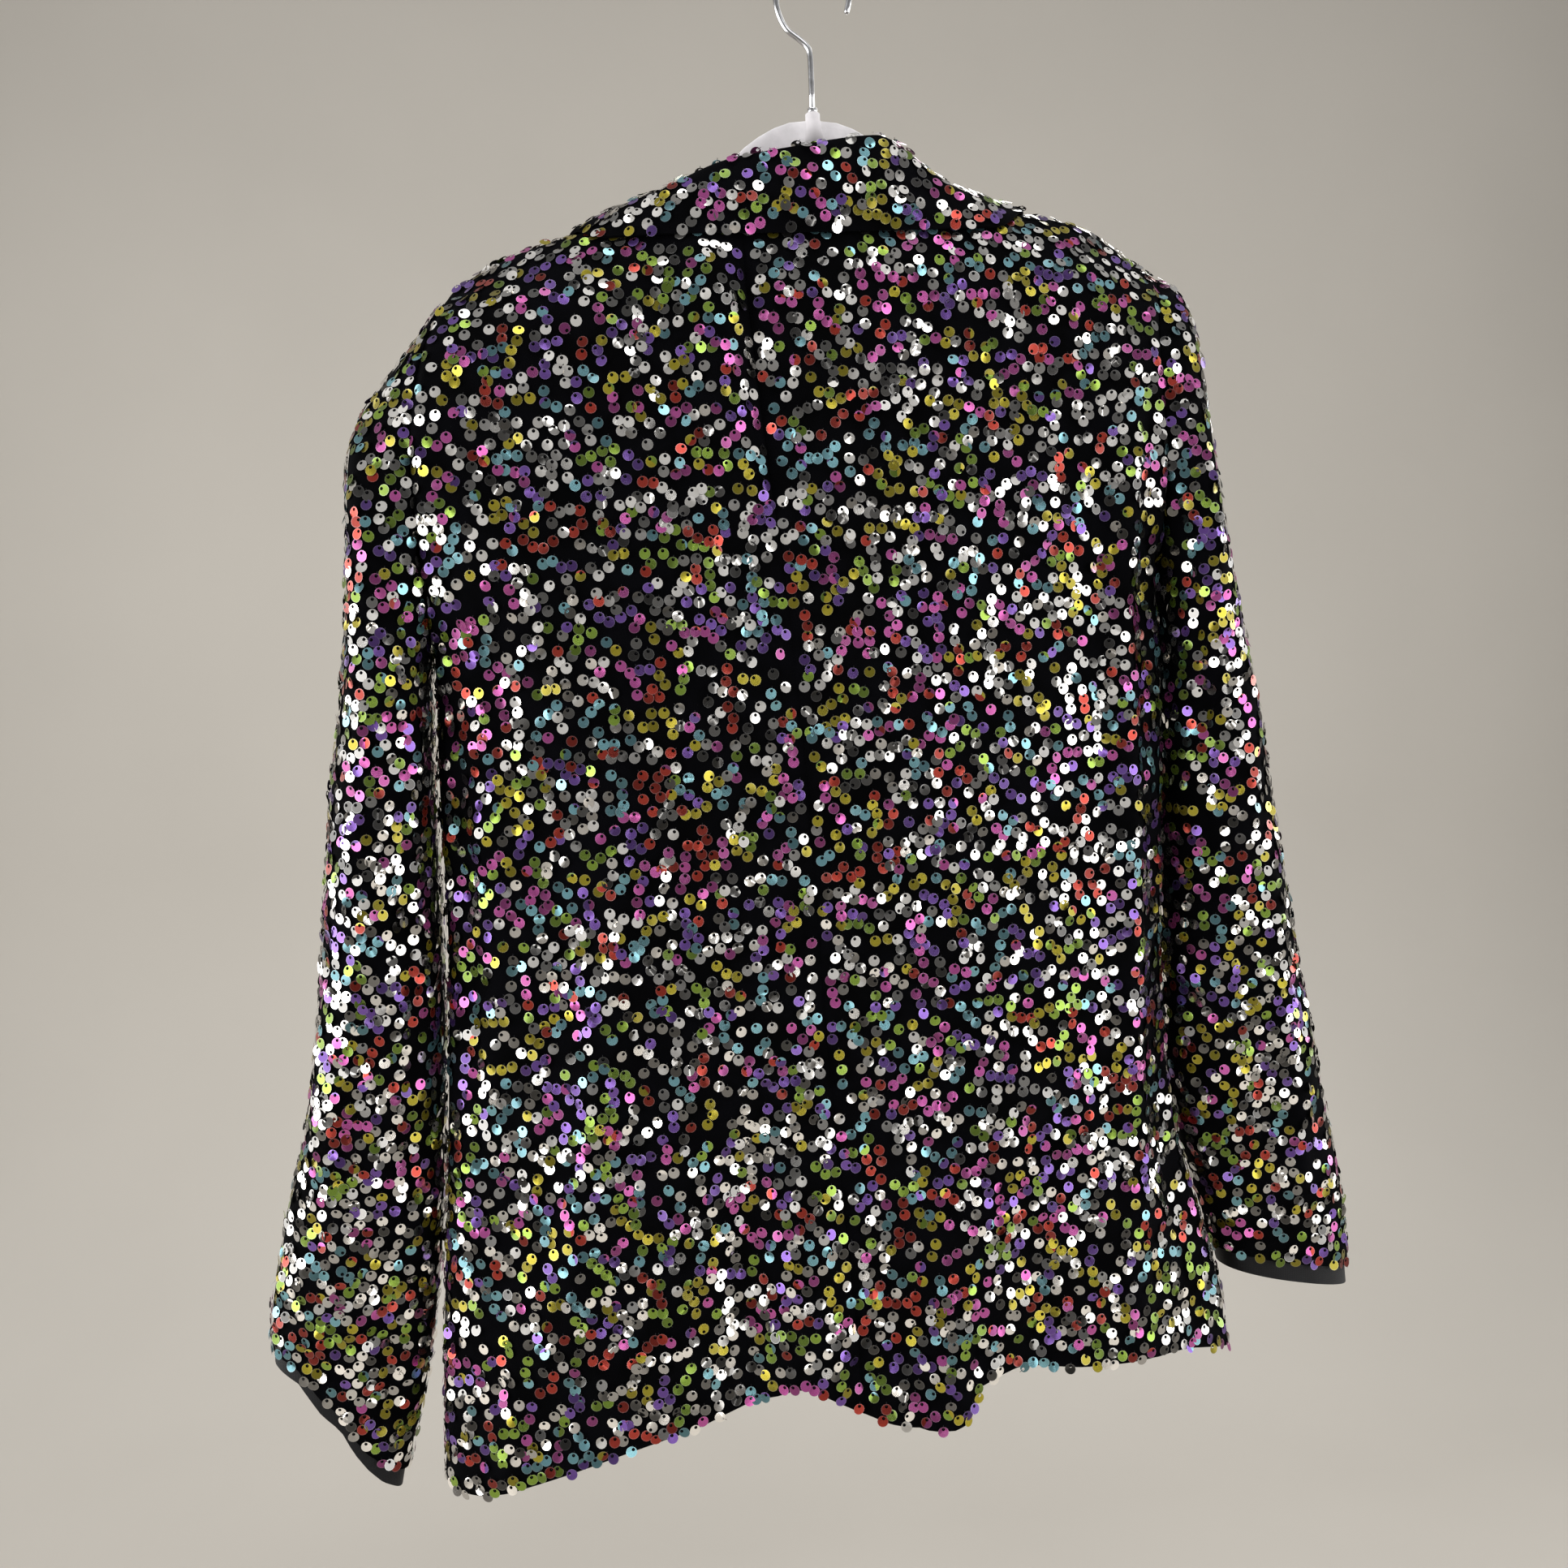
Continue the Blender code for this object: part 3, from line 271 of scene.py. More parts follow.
# Smaller creases that the solids leave out, written in the same way
CREASES = {
    BACK: (
        (-0.15, 0.215, -0.1, 0.33, 0.01, 0.0026), (-0.205, 0.26, -0.18, 0.42, 0.009, -0.003),
        (-0.228, 0.33, -0.15, 0.48, 0.01, 0.0022), (-0.24, 0.44, -0.236, 0.76, 0.008, -0.0035),
        (-0.224, 0.42, -0.214, 0.7, 0.01, 0.003), (-0.06, 0.23, -0.078, 0.42, 0.007, -0.0026),
        (-0.095, 0.33, -0.12, 0.56, 0.011, 0.002), (-0.012, 0.3, 0.02, 0.52, 0.01, 0.0022),
        (0.03, 0.21, 0.06, 0.38, 0.01, -0.0022), (0.15, 0.205, 0.12, 0.36, 0.009, 0.0026),
        (0.196, 0.26, 0.186, 0.52, 0.008, -0.0034), (0.181, 0.27, 0.174, 0.86, 0.008, 0.0036),
        (0.06, 0.52, 0.074, 0.76, 0.01, 0.0018), (-0.16, 0.6, -0.12, 0.8, 0.009, -0.0024),
        (-0.11, 0.64, -0.136, 0.9, 0.01, 0.0026), (-0.01, 0.66, 0.012, 0.88, 0.009, -0.0026),
        (0.128, 0.69, 0.172, 0.89, 0.011, 0.003), (0.19, 0.7, 0.214, 0.89, 0.009, -0.003),
        (-0.21, 0.79, -0.232, 0.935, 0.01, 0.003), (-0.196, 0.56, -0.206, 0.8, 0.008, 0.003),
        (0.162, 0.25, 0.156, 0.88, 0.009, -0.0036), (0.002, 0.868, 0.004, 0.95, 0.006, 0.003),
        (0.022, 0.868, 0.022, 0.95, 0.005, -0.0026), (0.042, 0.864, 0.044, 0.95, 0.006, 0.003),
        (0.06, 0.85, 0.062, 0.95, 0.004, -0.0034), (-0.016, 0.874, 0.062, 0.868, 0.004, -0.003),
        (-0.287, 0.3, -0.292, 0.48, 0.008, 0.0032), (-0.27, 0.38, -0.276, 0.62, 0.007, -0.003),
        (-0.302, 0.52, -0.286, 0.66, 0.009, 0.0032), (-0.286, 0.6, -0.316, 0.72, 0.008, -0.0026),
        (-0.33, 0.64, -0.322, 0.86, 0.009, 0.0032), (-0.3, 0.74, -0.3, 0.9, 0.008, -0.0028),
        (0.234, 0.29, 0.238, 0.47, 0.008, 0.003), (0.226, 0.4, 0.24, 0.6, 0.007, -0.0028),
        (0.262, 0.48, 0.25, 0.62, 0.009, 0.003), (0.272, 0.56, 0.296, 0.78, 0.008, 0.0034),
        (0.252, 0.64, 0.282, 0.82, 0.009, -0.003), (0.306, 0.7, 0.29, 0.85, 0.008, 0.0026),
    ),
    FRONT: (
        (-0.17, 0.23, -0.12, 0.36, 0.01, 0.0026), (-0.214, 0.29, -0.19, 0.47, 0.009, -0.003),
        (-0.232, 0.45, -0.222, 0.76, 0.009, 0.003), (-0.06, 0.52, -0.09, 0.76, 0.01, -0.0022),
        (-0.01, 0.58, -0.03, 0.86, 0.01, 0.0022), (0.06, 0.56, 0.08, 0.8, 0.01, 0.0022),
        (0.14, 0.23, 0.11, 0.38, 0.01, 0.0026), (0.19, 0.28, 0.176, 0.52, 0.009, -0.003),
        (0.2, 0.62, 0.214, 0.88, 0.01, 0.0028), (-0.28, 0.33, -0.29, 0.56, 0.009, 0.0032),
        (-0.3, 0.56, -0.29, 0.72, 0.009, -0.003), (-0.32, 0.64, -0.33, 0.82, 0.009, 0.003),
        (0.236, 0.32, 0.246, 0.54, 0.009, 0.003), (0.264, 0.54, 0.258, 0.7, 0.009, -0.0028),
        (0.29, 0.62, 0.304, 0.8, 0.009, 0.003),
    ),
}
# How fast a crease fades where the cloth turns away from the crease's face
CREASE_FADE = 2
SEAM_DIP = 0.0016
SEAM_DIP_WIDE = 0.0035
HEM_STITCH = 0.018
HEM_DIP = 0.0011
HEM_DIP_WIDE = 0.0030

# How much lower the hem of the back, and the left cuff, hang than the CAD cut,
# by place across, and how far up the cloth that reaches
BACK_DROP = (
    ("x", "drop"),
    (-0.066, 0.0), (-0.052, -0.005), (-0.042, -0.0018), (-0.03, 0.003), (-0.01, 0.0033),
    (0.004, -0.0006), (0.022, -0.0018), (0.04, 0.0), (0.053, 0.0028), (0.058, -0.002), (0.063, -0.0092),
    (0.07, -0.007), (0.08, -0.0043), (0.13, -0.0028), (0.166, -0.0025), (0.184, 0.0),
)
CUFF_DROP = (
    ("x", "drop"),
    (-0.374, 0.007), (-0.356, -0.003), (-0.343, 0.002), (-0.332, 0.0), (-0.325, 0.007), (-0.317, 0.01),
    (-0.309, 0.01), (-0.3, 0.006), (-0.29, 0.0),
)
DROP_REACH = 0.050

# How finely each grid is refined, along its rows and across its columns
FINE_PANEL = (4, 4)
FINE_SLEEVE = (5, 5)
FINE_COLLAR = (4, 3)
FINE_LAPEL = (4, 4)
FINE_BAND = (2, 4)
# Columns that a ring repeats before its first and after its last, to stay smooth
RING_BEFORE, RING_AFTER = 2, 3
# Edges sharper than this stay sharp, in degrees
CLOTH_SHARP = 50

# Sequins
HOLE_OFFSET = 0.0018
RIM_SIDES = 14
HOLE_SIDES = 8
THREAD_WIDE = 0.00034
THREAD_OVER = 0.0011
# Pieces whose sequins sit closer than the density for all, and by how much
DENSER = {"sleeve_top_left": 1.26, "sleeve_under_left": 1.20, "sleeve_top_right": 1.10}
CM2_IN_M2 = 1e4
# Chains: the shares of them that are one to four sequins long, the stride from
# one sequin to the next in diameters, and in degrees how far a chain bends at
# each stride and how far it strays from running straight up or down
CHAIN_SHARES = (0.34, 0.32, 0.22, 0.12)
CHAIN_STEP = (0.86, 1.15)
CHAIN_BEND = 38
CHAIN_SPREAD = 52
# How near another chain may come, in diameters: a share of them nearer than the rest
NEAREST = (0.50, 0.80)
CLOSE_CHAINS = 0.20
# The first chains start at least so many diameters from others, which evens the cover
ROOMY = 1.35
ROOMY_SHARE = 0.45
# Chains tried for each that would be enough, as most come too near others
SPARE_CHAINS = 11.0
# Height over the cloth, what each sequin below adds to it, and how many may lie below
LIFT = 0.0005
LEVEL_LIFT = 0.00034
TOP_LEVEL = 3
TOO_NEAR = -1
# A chain starts at a hem every so many metres, this many grid rows above or below it
HEM_CHAINS = 0.006
HEM_ROWS = (-0.3, 0.2)
# Spread of a sequin's tilt and swing in degrees, the share that swings freely,
# and the spread of its bend
TILT = 7.5
SWING = 24
FREE_SWING = 0.07
BEND = 0.00024
# A sequin lying flatter than this has no lower side and hangs along its cloth's rows
LEAST_UPRIGHT = 0.05
# For each kind of cloth piece: the borders that its seams draw in, and how near
# each border a sequin's centre may come. A bottom below zero is a stitched hem,
# and sequins may hang over it.
BORDERS = {
    "back": (("first", "last"), {"first": 0.0034, "last": 0.0018, "bottom": -0.001}),
    "front": (("last",), {"first": 0.0012, "last": 0.0018, "bottom": -0.001}),
    "sleeve": (("top", "first", "last"), {"first": 0.0014, "last": 0.0014, "top": 0.002, "bottom": -0.001}),
    "collar": ((), {"top": 0.002, "bottom": 0.0012, "first": 0.001, "last": 0.001}),
    "lapel": ((), {"top": 0.003, "bottom": 0.0006, "first": 0.003, "last": 0.003}),
}

# Films: the family whose colour each has, the family's share of chains, the
# film's share within its family, and how deep its tone is beside the family's
# colour. The dyed families follow the order of the stripes on the film that
# they are punched from. The silver tones are painted reflections: lit and
# shaded copies of one mirror film.
FILMS = (
    ("name", "family", "family_share", "tone_share", "depth", "metallic", "roughness"),
    # Painted reflections: one mirror film, from a painted bright reflection down to a painted dark one
    ("silver_film_light", "silver", 0.43, 0.37, 1.00, 0.92, 0.11),
    ("silver_film", "silver", 0.43, 0.32, 0.43, 0.96, 0.10),
    ("silver_film_grey", "silver", 0.43, 0.21, 0.17, 0.96, 0.10),
    ("silver_film_dark", "silver", 0.43, 0.10, 0.063, 0.95, 0.14),
    ("violet_film", "violet", 0.10, 0.50, 1.00, 0.80, 0.24),
    ("deep_violet_film", "violet", 0.10, 0.50, 0.50, 0.80, 0.26),
    ("pink_film", "pink", 0.11, 0.55, 1.00, 0.80, 0.24),
    ("deep_pink_film", "pink", 0.11, 0.45, 0.47, 0.80, 0.26),
    ("orange_red_film", "red", 0.08, 0.55, 1.00, 0.80, 0.24),
    ("deep_red_film", "red", 0.08, 0.45, 0.50, 0.80, 0.26),
    ("yellow_film", "yellow", 0.10, 0.42, 1.00, 0.80, 0.24),
    ("olive_film", "yellow", 0.10, 0.58, 0.54, 0.80, 0.26),
    ("lime_film", "green", 0.10, 0.46, 1.00, 0.80, 0.24),
    ("leaf_film", "green", 0.10, 0.54, 0.51, 0.80, 0.26),
    ("turquoise_film", "blue", 0.09, 0.46, 1.00, 0.80, 0.22),
    ("teal_film", "blue", 0.09, 0.54, 0.46, 0.80, 0.24),
)
# Share of the dyed sequins that are punched across two stripes
STRIPED = 0.13
# Each sequin's own map, from its centre (0) to its rim (1), and its painted rim highlight
DISC_MAP = "disc"
RIM_FROM = 0.84
RIM_PAINTED_HIGHLIGHT = 0.12

# Camera: its place, its turns in degrees, its lens in millimetres and its nearest view
CAMERA_PLACE = (-0.1700, -0.9503, -0.4623)
CAMERA_YAW = 8.0
CAMERA_PITCH = -3.0
CAMERA_ROLL = -2.5
CAMERA_LENS = 34.64
CAMERA_SENSOR = 36.0
CAMERA_NEAR = 0.01

# Lamps: place, size and share of the lamp power
LAMPS = (
    ("name", "x", "y", "z", "wide", "high", "share"),
    ("window", -2.10, -0.90, -0.45, 1.80, 1.80, 0.68),
    ("window_back", -2.20, 0.50, -0.45, 1.30, 1.80, 0.40),
    ("fill", 1.95, -1.40, -0.60, 2.10, 1.80, 0.50),
    ("fill_side", 2.60, 0.20, -0.20, 0.90, 1.80, 0.46),
    ("above", 0.10, -0.50, 1.70, 1.40, 0.90, 0.20),
    ("behind", 0.70, 1.80, 0.60, 1.20, 1.20, 0.30),
    ("strip_high", 0.60, -1.70, 1.45, 1.00, 0.50, 0.100),
    ("strip_right", 0.55, -2.80, -0.40, 0.10, 2.40, 0.050),
    ("strip_floor", 0.20, -1.75, -1.60, 0.80, 0.16, 0.026),
)
LAMP_AIM = (-0.02, 0.0, -0.50)
# Light of the room by how high its direction rises
ROOM_BANDS = (
    ("rise", "colour"),
    (-0.6, "b0b0b0"), (-0.22, "b8b7b5"), (-0.02, "dcdbd9"), (0.12, "ebebeb"), (0.28, "a6a5a4"),
    (0.7, "e2e2e2"),
)
# Its strength before and behind the blazer and at its sides, and how far aside
# its direction goes where the one starts and ends to turn into the other
ROOM_STRENGTH = (0.55, 1.15)
ROOM_TURN = (0.35, 0.85)

# Floor and backdrop
PAPER_WIDE = 12.0
PAPER_FRONT = -5.0
PAPER_BACK = 2.3
PAPER_DOWN = 1.75
PAPER_HIGH = 4.5
PAPER_BEND = 1.0
PAPER_BEND_STEPS = 16

# Colour sockets of a Mix node, whose names its other kinds share
MIX_FROM, MIX_TO, MIX_RESULT = 6, 7, 2
# Threads in a metre of the facing
FACING_THREADS = 2500

# Small parts: steps of a rounded edge, and the angles in degrees above which
# edges stay sharp, on plain pieces and on bent ones
FERRULE_RADIUS = 0.0031
FERRULE_HIGH = 0.0028
FERRULE_ROUND = FERRULE_HIGH / 4
FERRULE_SIDES = 32
EDGE_STEPS = 3
SHARP_ABOVE = 40
SHARP_ABOVE_BENT = 60
MERGE_WITHIN = 0.00001
# Button: its holes' places and size, then its rim and step as shares of its
# radius, and its dish and rounding as shares of its thickness
BUTTON_SIDES = 48
BUTTON_HOLES = 0.0022
BUTTON_DRILL = 0.0009
DRILL_SIDES = 16
DRILL_LONG = 3
BUTTON_RIM = 0.16
BUTTON_STEP = 0.10
BUTTON_DISH = 0.25
BUTTON_ROUND = 0.16
FACES_FRONT = 0.9
# How far sequins keep from the button's middle, a collar or lapel, and the lapped edge
BUTTON_CLEAR = 0.012
COVER_NEAR = 0.0042
LAP_CLEAR = 0.002
COMPARED_AT_ONCE = 500

# What the first steps leave for later ones: each finish, and each sequined piece
# with its surface, its normals and how near its borders a sequin may come
FINISHES = {}
SEWN = {}


def sizes_of(context):
    return context.scene.blazer_sizes


def column(table, name):
    """One column of a table, found by the name in its first row."""
    place = table[0].index(name)
    return np.array([row[place] for row in table[1:]], float)


def between(values, slopes, i, u, step=1.0):
    """Smooth value a share u of the way from row i to the next."""
    return (
        values[i] * (1 + 2 * u) * (1 - u) ** 2
        + values[i + 1] * (3 - 2 * u) * u**2
        + slopes[i] * step * u * (1 - u) ** 2
        - slopes[i + 1] * step * u**2 * (1 - u)
    )


def follow(table, key, name, where):
    """Value of one column where the key column has the given value, smoothly."""
    keys, values = column(table, key), column(table, name)
    where = np.clip(where, keys[0], keys[-1])
    i = np.clip(np.searchsorted(keys, where) - 1, 0, len(keys) - 2)
    step = keys[i + 1] - keys[i]
    return between(values, np.gradient(values, keys), i, (where - keys[i]) / step, step)


def resample(points, count):
    """The same line of points, smoothed to the given number of steps."""
    where = np.linspace(0.0, len(points) - 1.0, count + 1)
    i = np.clip(where.astype(int), 0, len(points) - 2)
    u = (where - i).reshape(-1, *[1] * (points.ndim - 1))
    return between(points, np.gradient(points, axis=0), i, u)


def ridge_down(x):
    return follow(RIDGE, "x", "down", x)


def inner_edge(side, face, down):
    """Centre-back seam or inner edge of a front, as a place across."""
    return follow(BACK_SEAM if face == BACK else FRONT_EDGE[side], "down", "x", down)


def outer_edge(side, down):
    return follow(EDGE[side], "down", "x", down)


def unit(vectors):
    length = np.linalg.norm(vectors, axis=-1, keepdims=True)
    return vectors / np.maximum(length, LEAST_LENGTH)


def grid_normals(grid, ring=False):
    """Unit normals of a grid of points; ring joins its last column to its first."""
    along = np.gradient(grid, axis=0)
    if ring:
        across = np.roll(grid, -1, axis=1) - np.roll(grid, 1, axis=1)
    else:
        across = np.gradient(grid, axis=1)
    return unit(np.cross(along, across))


def without(vectors, axis):
    """The same vectors with one axis taken out, still of unit length."""
    flat = vectors.copy()
    flat[..., axis] = 0.0
    return unit(flat)


def panel_x(side, face, down, s):
    centre = inner_edge(side, face, down)
    return centre + (outer_edge(side, down) - centre) * s


def panel_top(face, x):
    """Neckline and shoulder seam of a panel, as a drop below the origin."""
    ridge = ridge_down(x)
    if face == FRONT:
        return ridge
    middle = (NECK_X[LEFT] + NECK_X[RIGHT]) / 2
    half = (NECK_X[RIGHT] - NECK_X[LEFT]) / 2
    open_part = np.clip(1 - ((x - middle) / half) ** 2, 0.0, 1.0)
    return ridge + NECK_DROP * open_part**NECK_FLAT


def folds(face, x, down):
    """Height of the soft ridges and troughs of a panel at one place."""
    total = np.zeros_like(x)
    for top_x, top_down, foot_x, foot_down, width, height in FOLDS[face]:
        v = np.clip((down - top_down) / (foot_down - top_down), 0.0, 1.0)
        line = top_x + (foot_x - top_x) * v
        total += height * np.sqrt(np.sin(pi * v)) * np.exp(-(((x - line) / width) ** 2))
    return total


def panel_depth(side, face, x, down, s):
    """Distance of a panel from the shoulder line, at a share s of its width."""
    tip, underarm = TIP_DOWN[side], UNDERARM_DOWN[side]
    v = np.clip((down - tip) / (underarm - tip), 0.0, 1.0)
    end = ARMHOLE_DEPTH * (2 * np.sqrt(v * (1 - v))) ** ARMHOLE_SQUARE
    below = (down - ridge_down(x)) / RIDGE_ROUND
    top = np.sqrt(1 - (1 - np.clip(below, 0.0, 1.0)) ** 2)
    middle = follow(DEPTH, "down", "back" if face == BACK else "front", down) * top
    middle = middle + top * folds(face, x, down)
    if face == FRONT and side == LEFT:
        lapped = inner_edge(RIGHT, FRONT, down) - x
        middle = middle - LAP * np.clip((LAP_EASE - lapped) / (LAP_EASE / 2), 0.0, 1.0)
    return end + (middle - end) * np.sqrt(1 - s**SIDE_SQUARE)


def panel_rows(side):
    """Shares of the length: close rows round the armhole, even rows below it."""
    hem = follow(BACK_HEM, "x", "down", column(EDGE[side], "x")[-1])
    under = (UNDERARM_DOWN[side] - TIP_DOWN[side]) / (hem - TIP_DOWN[side])
    armhole = [under * (1 - cos(radians(a))) / 2 for a in ARMHOLE_ANGLES[:-1]]
    return np.array(armhole + list(np.linspace(under, 1.0, BODY_ROWS + 1)))


def panel_grid(side, face):
    """Outer surface of one torso panel: rows go down, columns go outwards."""
    shares = panel_rows(side)
    columns = 1 - (1 - np.linspace(0.0, 1.0, PANEL_COLUMNS + 1)) ** COLUMN_CROWD
    t, s = np.meshgrid(shares, columns, indexing="ij")
    top = np.full_like(s, NECK_SIDE_DOWN)
    for _ in range(TOP_STEPS):
        top = panel_top(face, panel_x(side, face, top, s))
    hem_x = panel_x(side, face, np.full_like(s, HEM_DOWN), s)
    hem = follow(BACK_HEM if face == BACK else FRONT_HEM, "x", "down", hem_x)
    down = top + (hem - top) * t
    x = panel_x(side, face, down, s)
    y = face * panel_depth(side, face, x, down, s)
    return np.stack([x, y, -down], axis=-1)


def panel_normals(side, face, grid):
    normals = grid_normals(grid)
    normals *= np.sign(normals[len(grid) // 2, 1, 1]) * face
    normals[1:UNDER_ROW, -1] = without(normals[1:UNDER_ROW, -1], 0)
    normals[UNDER_ROW:, -1] = (side, 0.0, 0.0)
    seam = np.abs(grid[0, :, 1]) < ON_RIDGE
    normals[0, seam] = without(normals[0, seam], 1)
    normals[0, -1] = (0.0, 0.0, 1.0)
    if face == BACK:
        normals[1:, 0] = without(normals[1:, 0], 0)
    return normals


def armhole(side):
    """Closed loop of the armhole: tip, down the back, underarm, up the front."""
    back = panel_grid(side, BACK)[: UNDER_ROW + 1, -1]
    front = panel_grid(side, FRONT)[1:UNDER_ROW, -1]
    return np.concatenate([back, front[::-1]])


def sleeve_grid(side):
    """Outer surface of a whole sleeve: rings run from the armhole to the cuff."""
    angles = np.radians(ARMHOLE_ANGLES)
    angles = np.concatenate([angles, 2 * pi - angles[-2:0:-1]])
    power = 2 / SLEEVE_ROUND
    along = np.sign(np.cos(angles)) * np.abs(np.cos(angles)) ** power
    deep = -np.sign(np.sin(angles)) * np.abs(np.sin(angles)) ** power
    rings = []
    for outer_x, outer_down, inner_x, inner_down, depth, forward in SLEEVE[side][1:]:
        outer = np.array((outer_x, 0.0, -outer_down))
        inner = np.array((inner_x, 0.0, -inner_down))
        ring = (outer + inner) / 2 + np.outer(along, (outer - inner) / 2)
        ring[:, 1] = forward + depth * deep
        rings.append(ring)
    rings = np.array(rings)
    drift = armhole(side) - rings[0]
    for k in range(len(rings)):
        rings[k] += drift * max(0.0, 1 - k / BLEND_RINGS) ** 2
    rings[:, :, 0] += side * SLEEVE_APART
    return rings


def sleeve_normals(side, grid):
    normals = grid_normals(grid, ring=True)
    centre = grid.mean(axis=1, keepdims=True)
    normals *= np.sign(np.sum(normals * (grid - centre), axis=(1, 2)).mean())
    toward_body = normals[0, :, 0] * side > 0
    normals[0, toward_body] = without(normals[0, toward_body], 0)
    normals[0, 0] = (0.0, 0.0, 1.0)
    return normals


def on_panel(side, face, x, down, lift):
    """Point on a torso panel at the given x and height, moved out in y."""
    centre = inner_edge(side, face, down)
    s = np.clip((x - centre) / (outer_edge(side, down) - centre), 0.0, 1.0)
    depth = panel_depth(side, face, np.asarray(x), np.asarray(down), s)
    return np.stack([x, face * (depth + lift), -np.asarray(down)], axis=-1)


def side_of(x, face, down):
    """Which half a point of the torso belongs to."""
    middle = follow(BACK_SEAM, "down", "x", down) if face == BACK else 0
    return RIGHT if x > middle else LEFT


def clear_of_torso(points, lift):
    """Move points that come too near the torso out of its rounded top."""
    x, y, down = points[:, 0], points[:, 1], -points[:, 2]
    ridge = ridge_down(x)
    back, front = (follow(DEPTH, "down", name, down) for name in FACES)
    share = np.abs(x) / column(EDGE[RIGHT], "x")[0]
    deep = np.where(y < 0, back, front) * np.sqrt(1 - np.clip(share, 0.0, ROUND_UP_TO) ** SIDE_SQUARE)
    rise = np.clip(ridge + RIDGE_ROUND - down, 0.0, None)
    reach = np.sqrt((y / (deep + lift)) ** 2 + (rise / (RIDGE_ROUND + lift)) ** 2)
    grow = 1 / np.clip(reach, LEAST_REACH, 1.0)
    moved = points.copy()
    moved[:, 1] = y * grow
    moved[:, 2] = np.where(rise > 0, rise * grow - ridge - RIDGE_ROUND, points[:, 2])
    return moved


def collar_lines():
    """Seam, roll line and outer edge of the collar at its stations."""
    seam, roll, edge = [], [], []
    for face, seam_x, seam_down, roll_x, roll_out, roll_down, edge_x, edge_down in COLLAR[1:]:
        if face == 0:
            edge.append(np.array((edge_x, 0.0, FALL_LIFT - ridge_down(edge_x))))
            seam.append(np.array((seam_x, 0.0, SEAM_LIFT - ridge_down(seam_x))))
        else:
            side = side_of(edge_x, face, edge_down)
            edge.append(on_panel(side, face, edge_x, edge_down, FALL_LIFT))
            if face == BACK:
                seam_down = panel_top(BACK, seam_x) - SEAM_LIFT
            side = side_of(seam_x, face, seam_down)
            seam.append(on_panel(side, face, seam_x, seam_down, -CLOTH / 2))
            if face == FRONT:
                seam[-1] = seam[-1] - np.array((side * SEAM_INSIDE, SEAM_BEHIND, 0.0))
        roll.append(np.array((roll_x, seam[-1][1] + face * roll_out, -roll_down)))
    return np.array(seam), np.array(roll), np.array(edge)


def linear(code):
    """Linear colour of an sRGB hex value."""
    parts = [int(code[i : i + 2], 16) / 255 for i in (0, 2, 4)]
    return tuple(p / 12.92 if p <= 0.04045 else ((p + 0.055) / 1.055) ** 2.4 for p in parts)


def deepened(colour, depth):
    """A share of a linear colour."""
    return tuple(part * depth for part in colour)


def node(tree, kind, settings, feeds=()):
    """Adds one node, sets its sockets and properties, and links what feeds it."""
    made = tree.nodes.new(kind)
    for name, value in settings.items():
        if name in made.inputs:
            made.inputs[name].default_value = value
        else:
            setattr(made, name, value)
    for name, source in feeds:
        tree.links.new(source, made.inputs[name])
    return made


def finish_base(name, **sockets):
    """A new material and its shader, with the constant sockets set on it."""
    made = bpy.data.materials.new(name)
    made.use_nodes = True
    shader = made.node_tree.nodes["Principled BSDF"]
    for socket, value in sockets.items():
        shader.inputs[socket.replace("_", " ")].default_value = value
    return made, made.node_tree, shader


def from_to(low, high, least, most):
    """Settings of a node that maps one range onto another."""
    return {"From Min": low, "From Max": high, "To Min": least, "To Max": most}


def two_tones(tree, shader, size, high, depth, contrast=0.12):
    """Soft spots of the given size in metres, from a share of the colour up to it."""
    place = node(tree, "ShaderNodeTexCoord", {}).outputs["Object"]
    noise = node(tree, "ShaderNodeTexNoise", {"Scale": 1 / size, "Detail": 3.0}, [("Vector", place)])
    ramp = node(tree, "ShaderNodeValToRGB", {}, [("Fac", noise.outputs["Fac"])])
    for stop, step, share in zip(ramp.color_ramp.elements, (-contrast, contrast), (depth, 1.0)):
        stop.position = 0.5 + step
        stop.color = (*deepened(high, share), 1.0)
    tree.links.new(ramp.outputs["Color"], shader.inputs["Base Color"])
    return place


def tufted(tree, shader, place, size, detail, strength, distance):
    """Fine uneven relief of the given size in metres, as of pile or flock."""
    noise = node(tree, "ShaderNodeTexNoise", {"Scale": 1 / size, "Detail": detail}, [("Vector", place)])
    depth = {"Strength": strength, "Distance": distance}
    relief = node(tree, "ShaderNodeBump", depth, [("Height", noise.outputs["Fac"])])
    tree.links.new(relief.outputs["Normal"], shader.inputs["Normal"])


def stretch_velvet(colour):
    # Black polyester stretch velvet: a short dense pile that swallows light
    # and shows a faint cool bloom where it is seen edge-on. The pile is drawn
    # at 0.9 mm, about twice its real tuft, so that it still shows.
    made, tree, shader = finish_base("black_stretch_velvet", Roughness=0.92, Specular_IOR_Level=0.03)
    shader.inputs["Sheen Weight"].default_value = 0.01
    shader.inputs["Sheen Roughness"].default_value = 0.4
    shader.inputs["Sheen Tint"].default_value = (*linear("8f94a8"), 1.0)
    place = two_tones(tree, shader, 0.030, colour, 0.3)
    tufted(tree, shader, place, 0.0009, 2.0, 0.5, 0.0004)
    return made


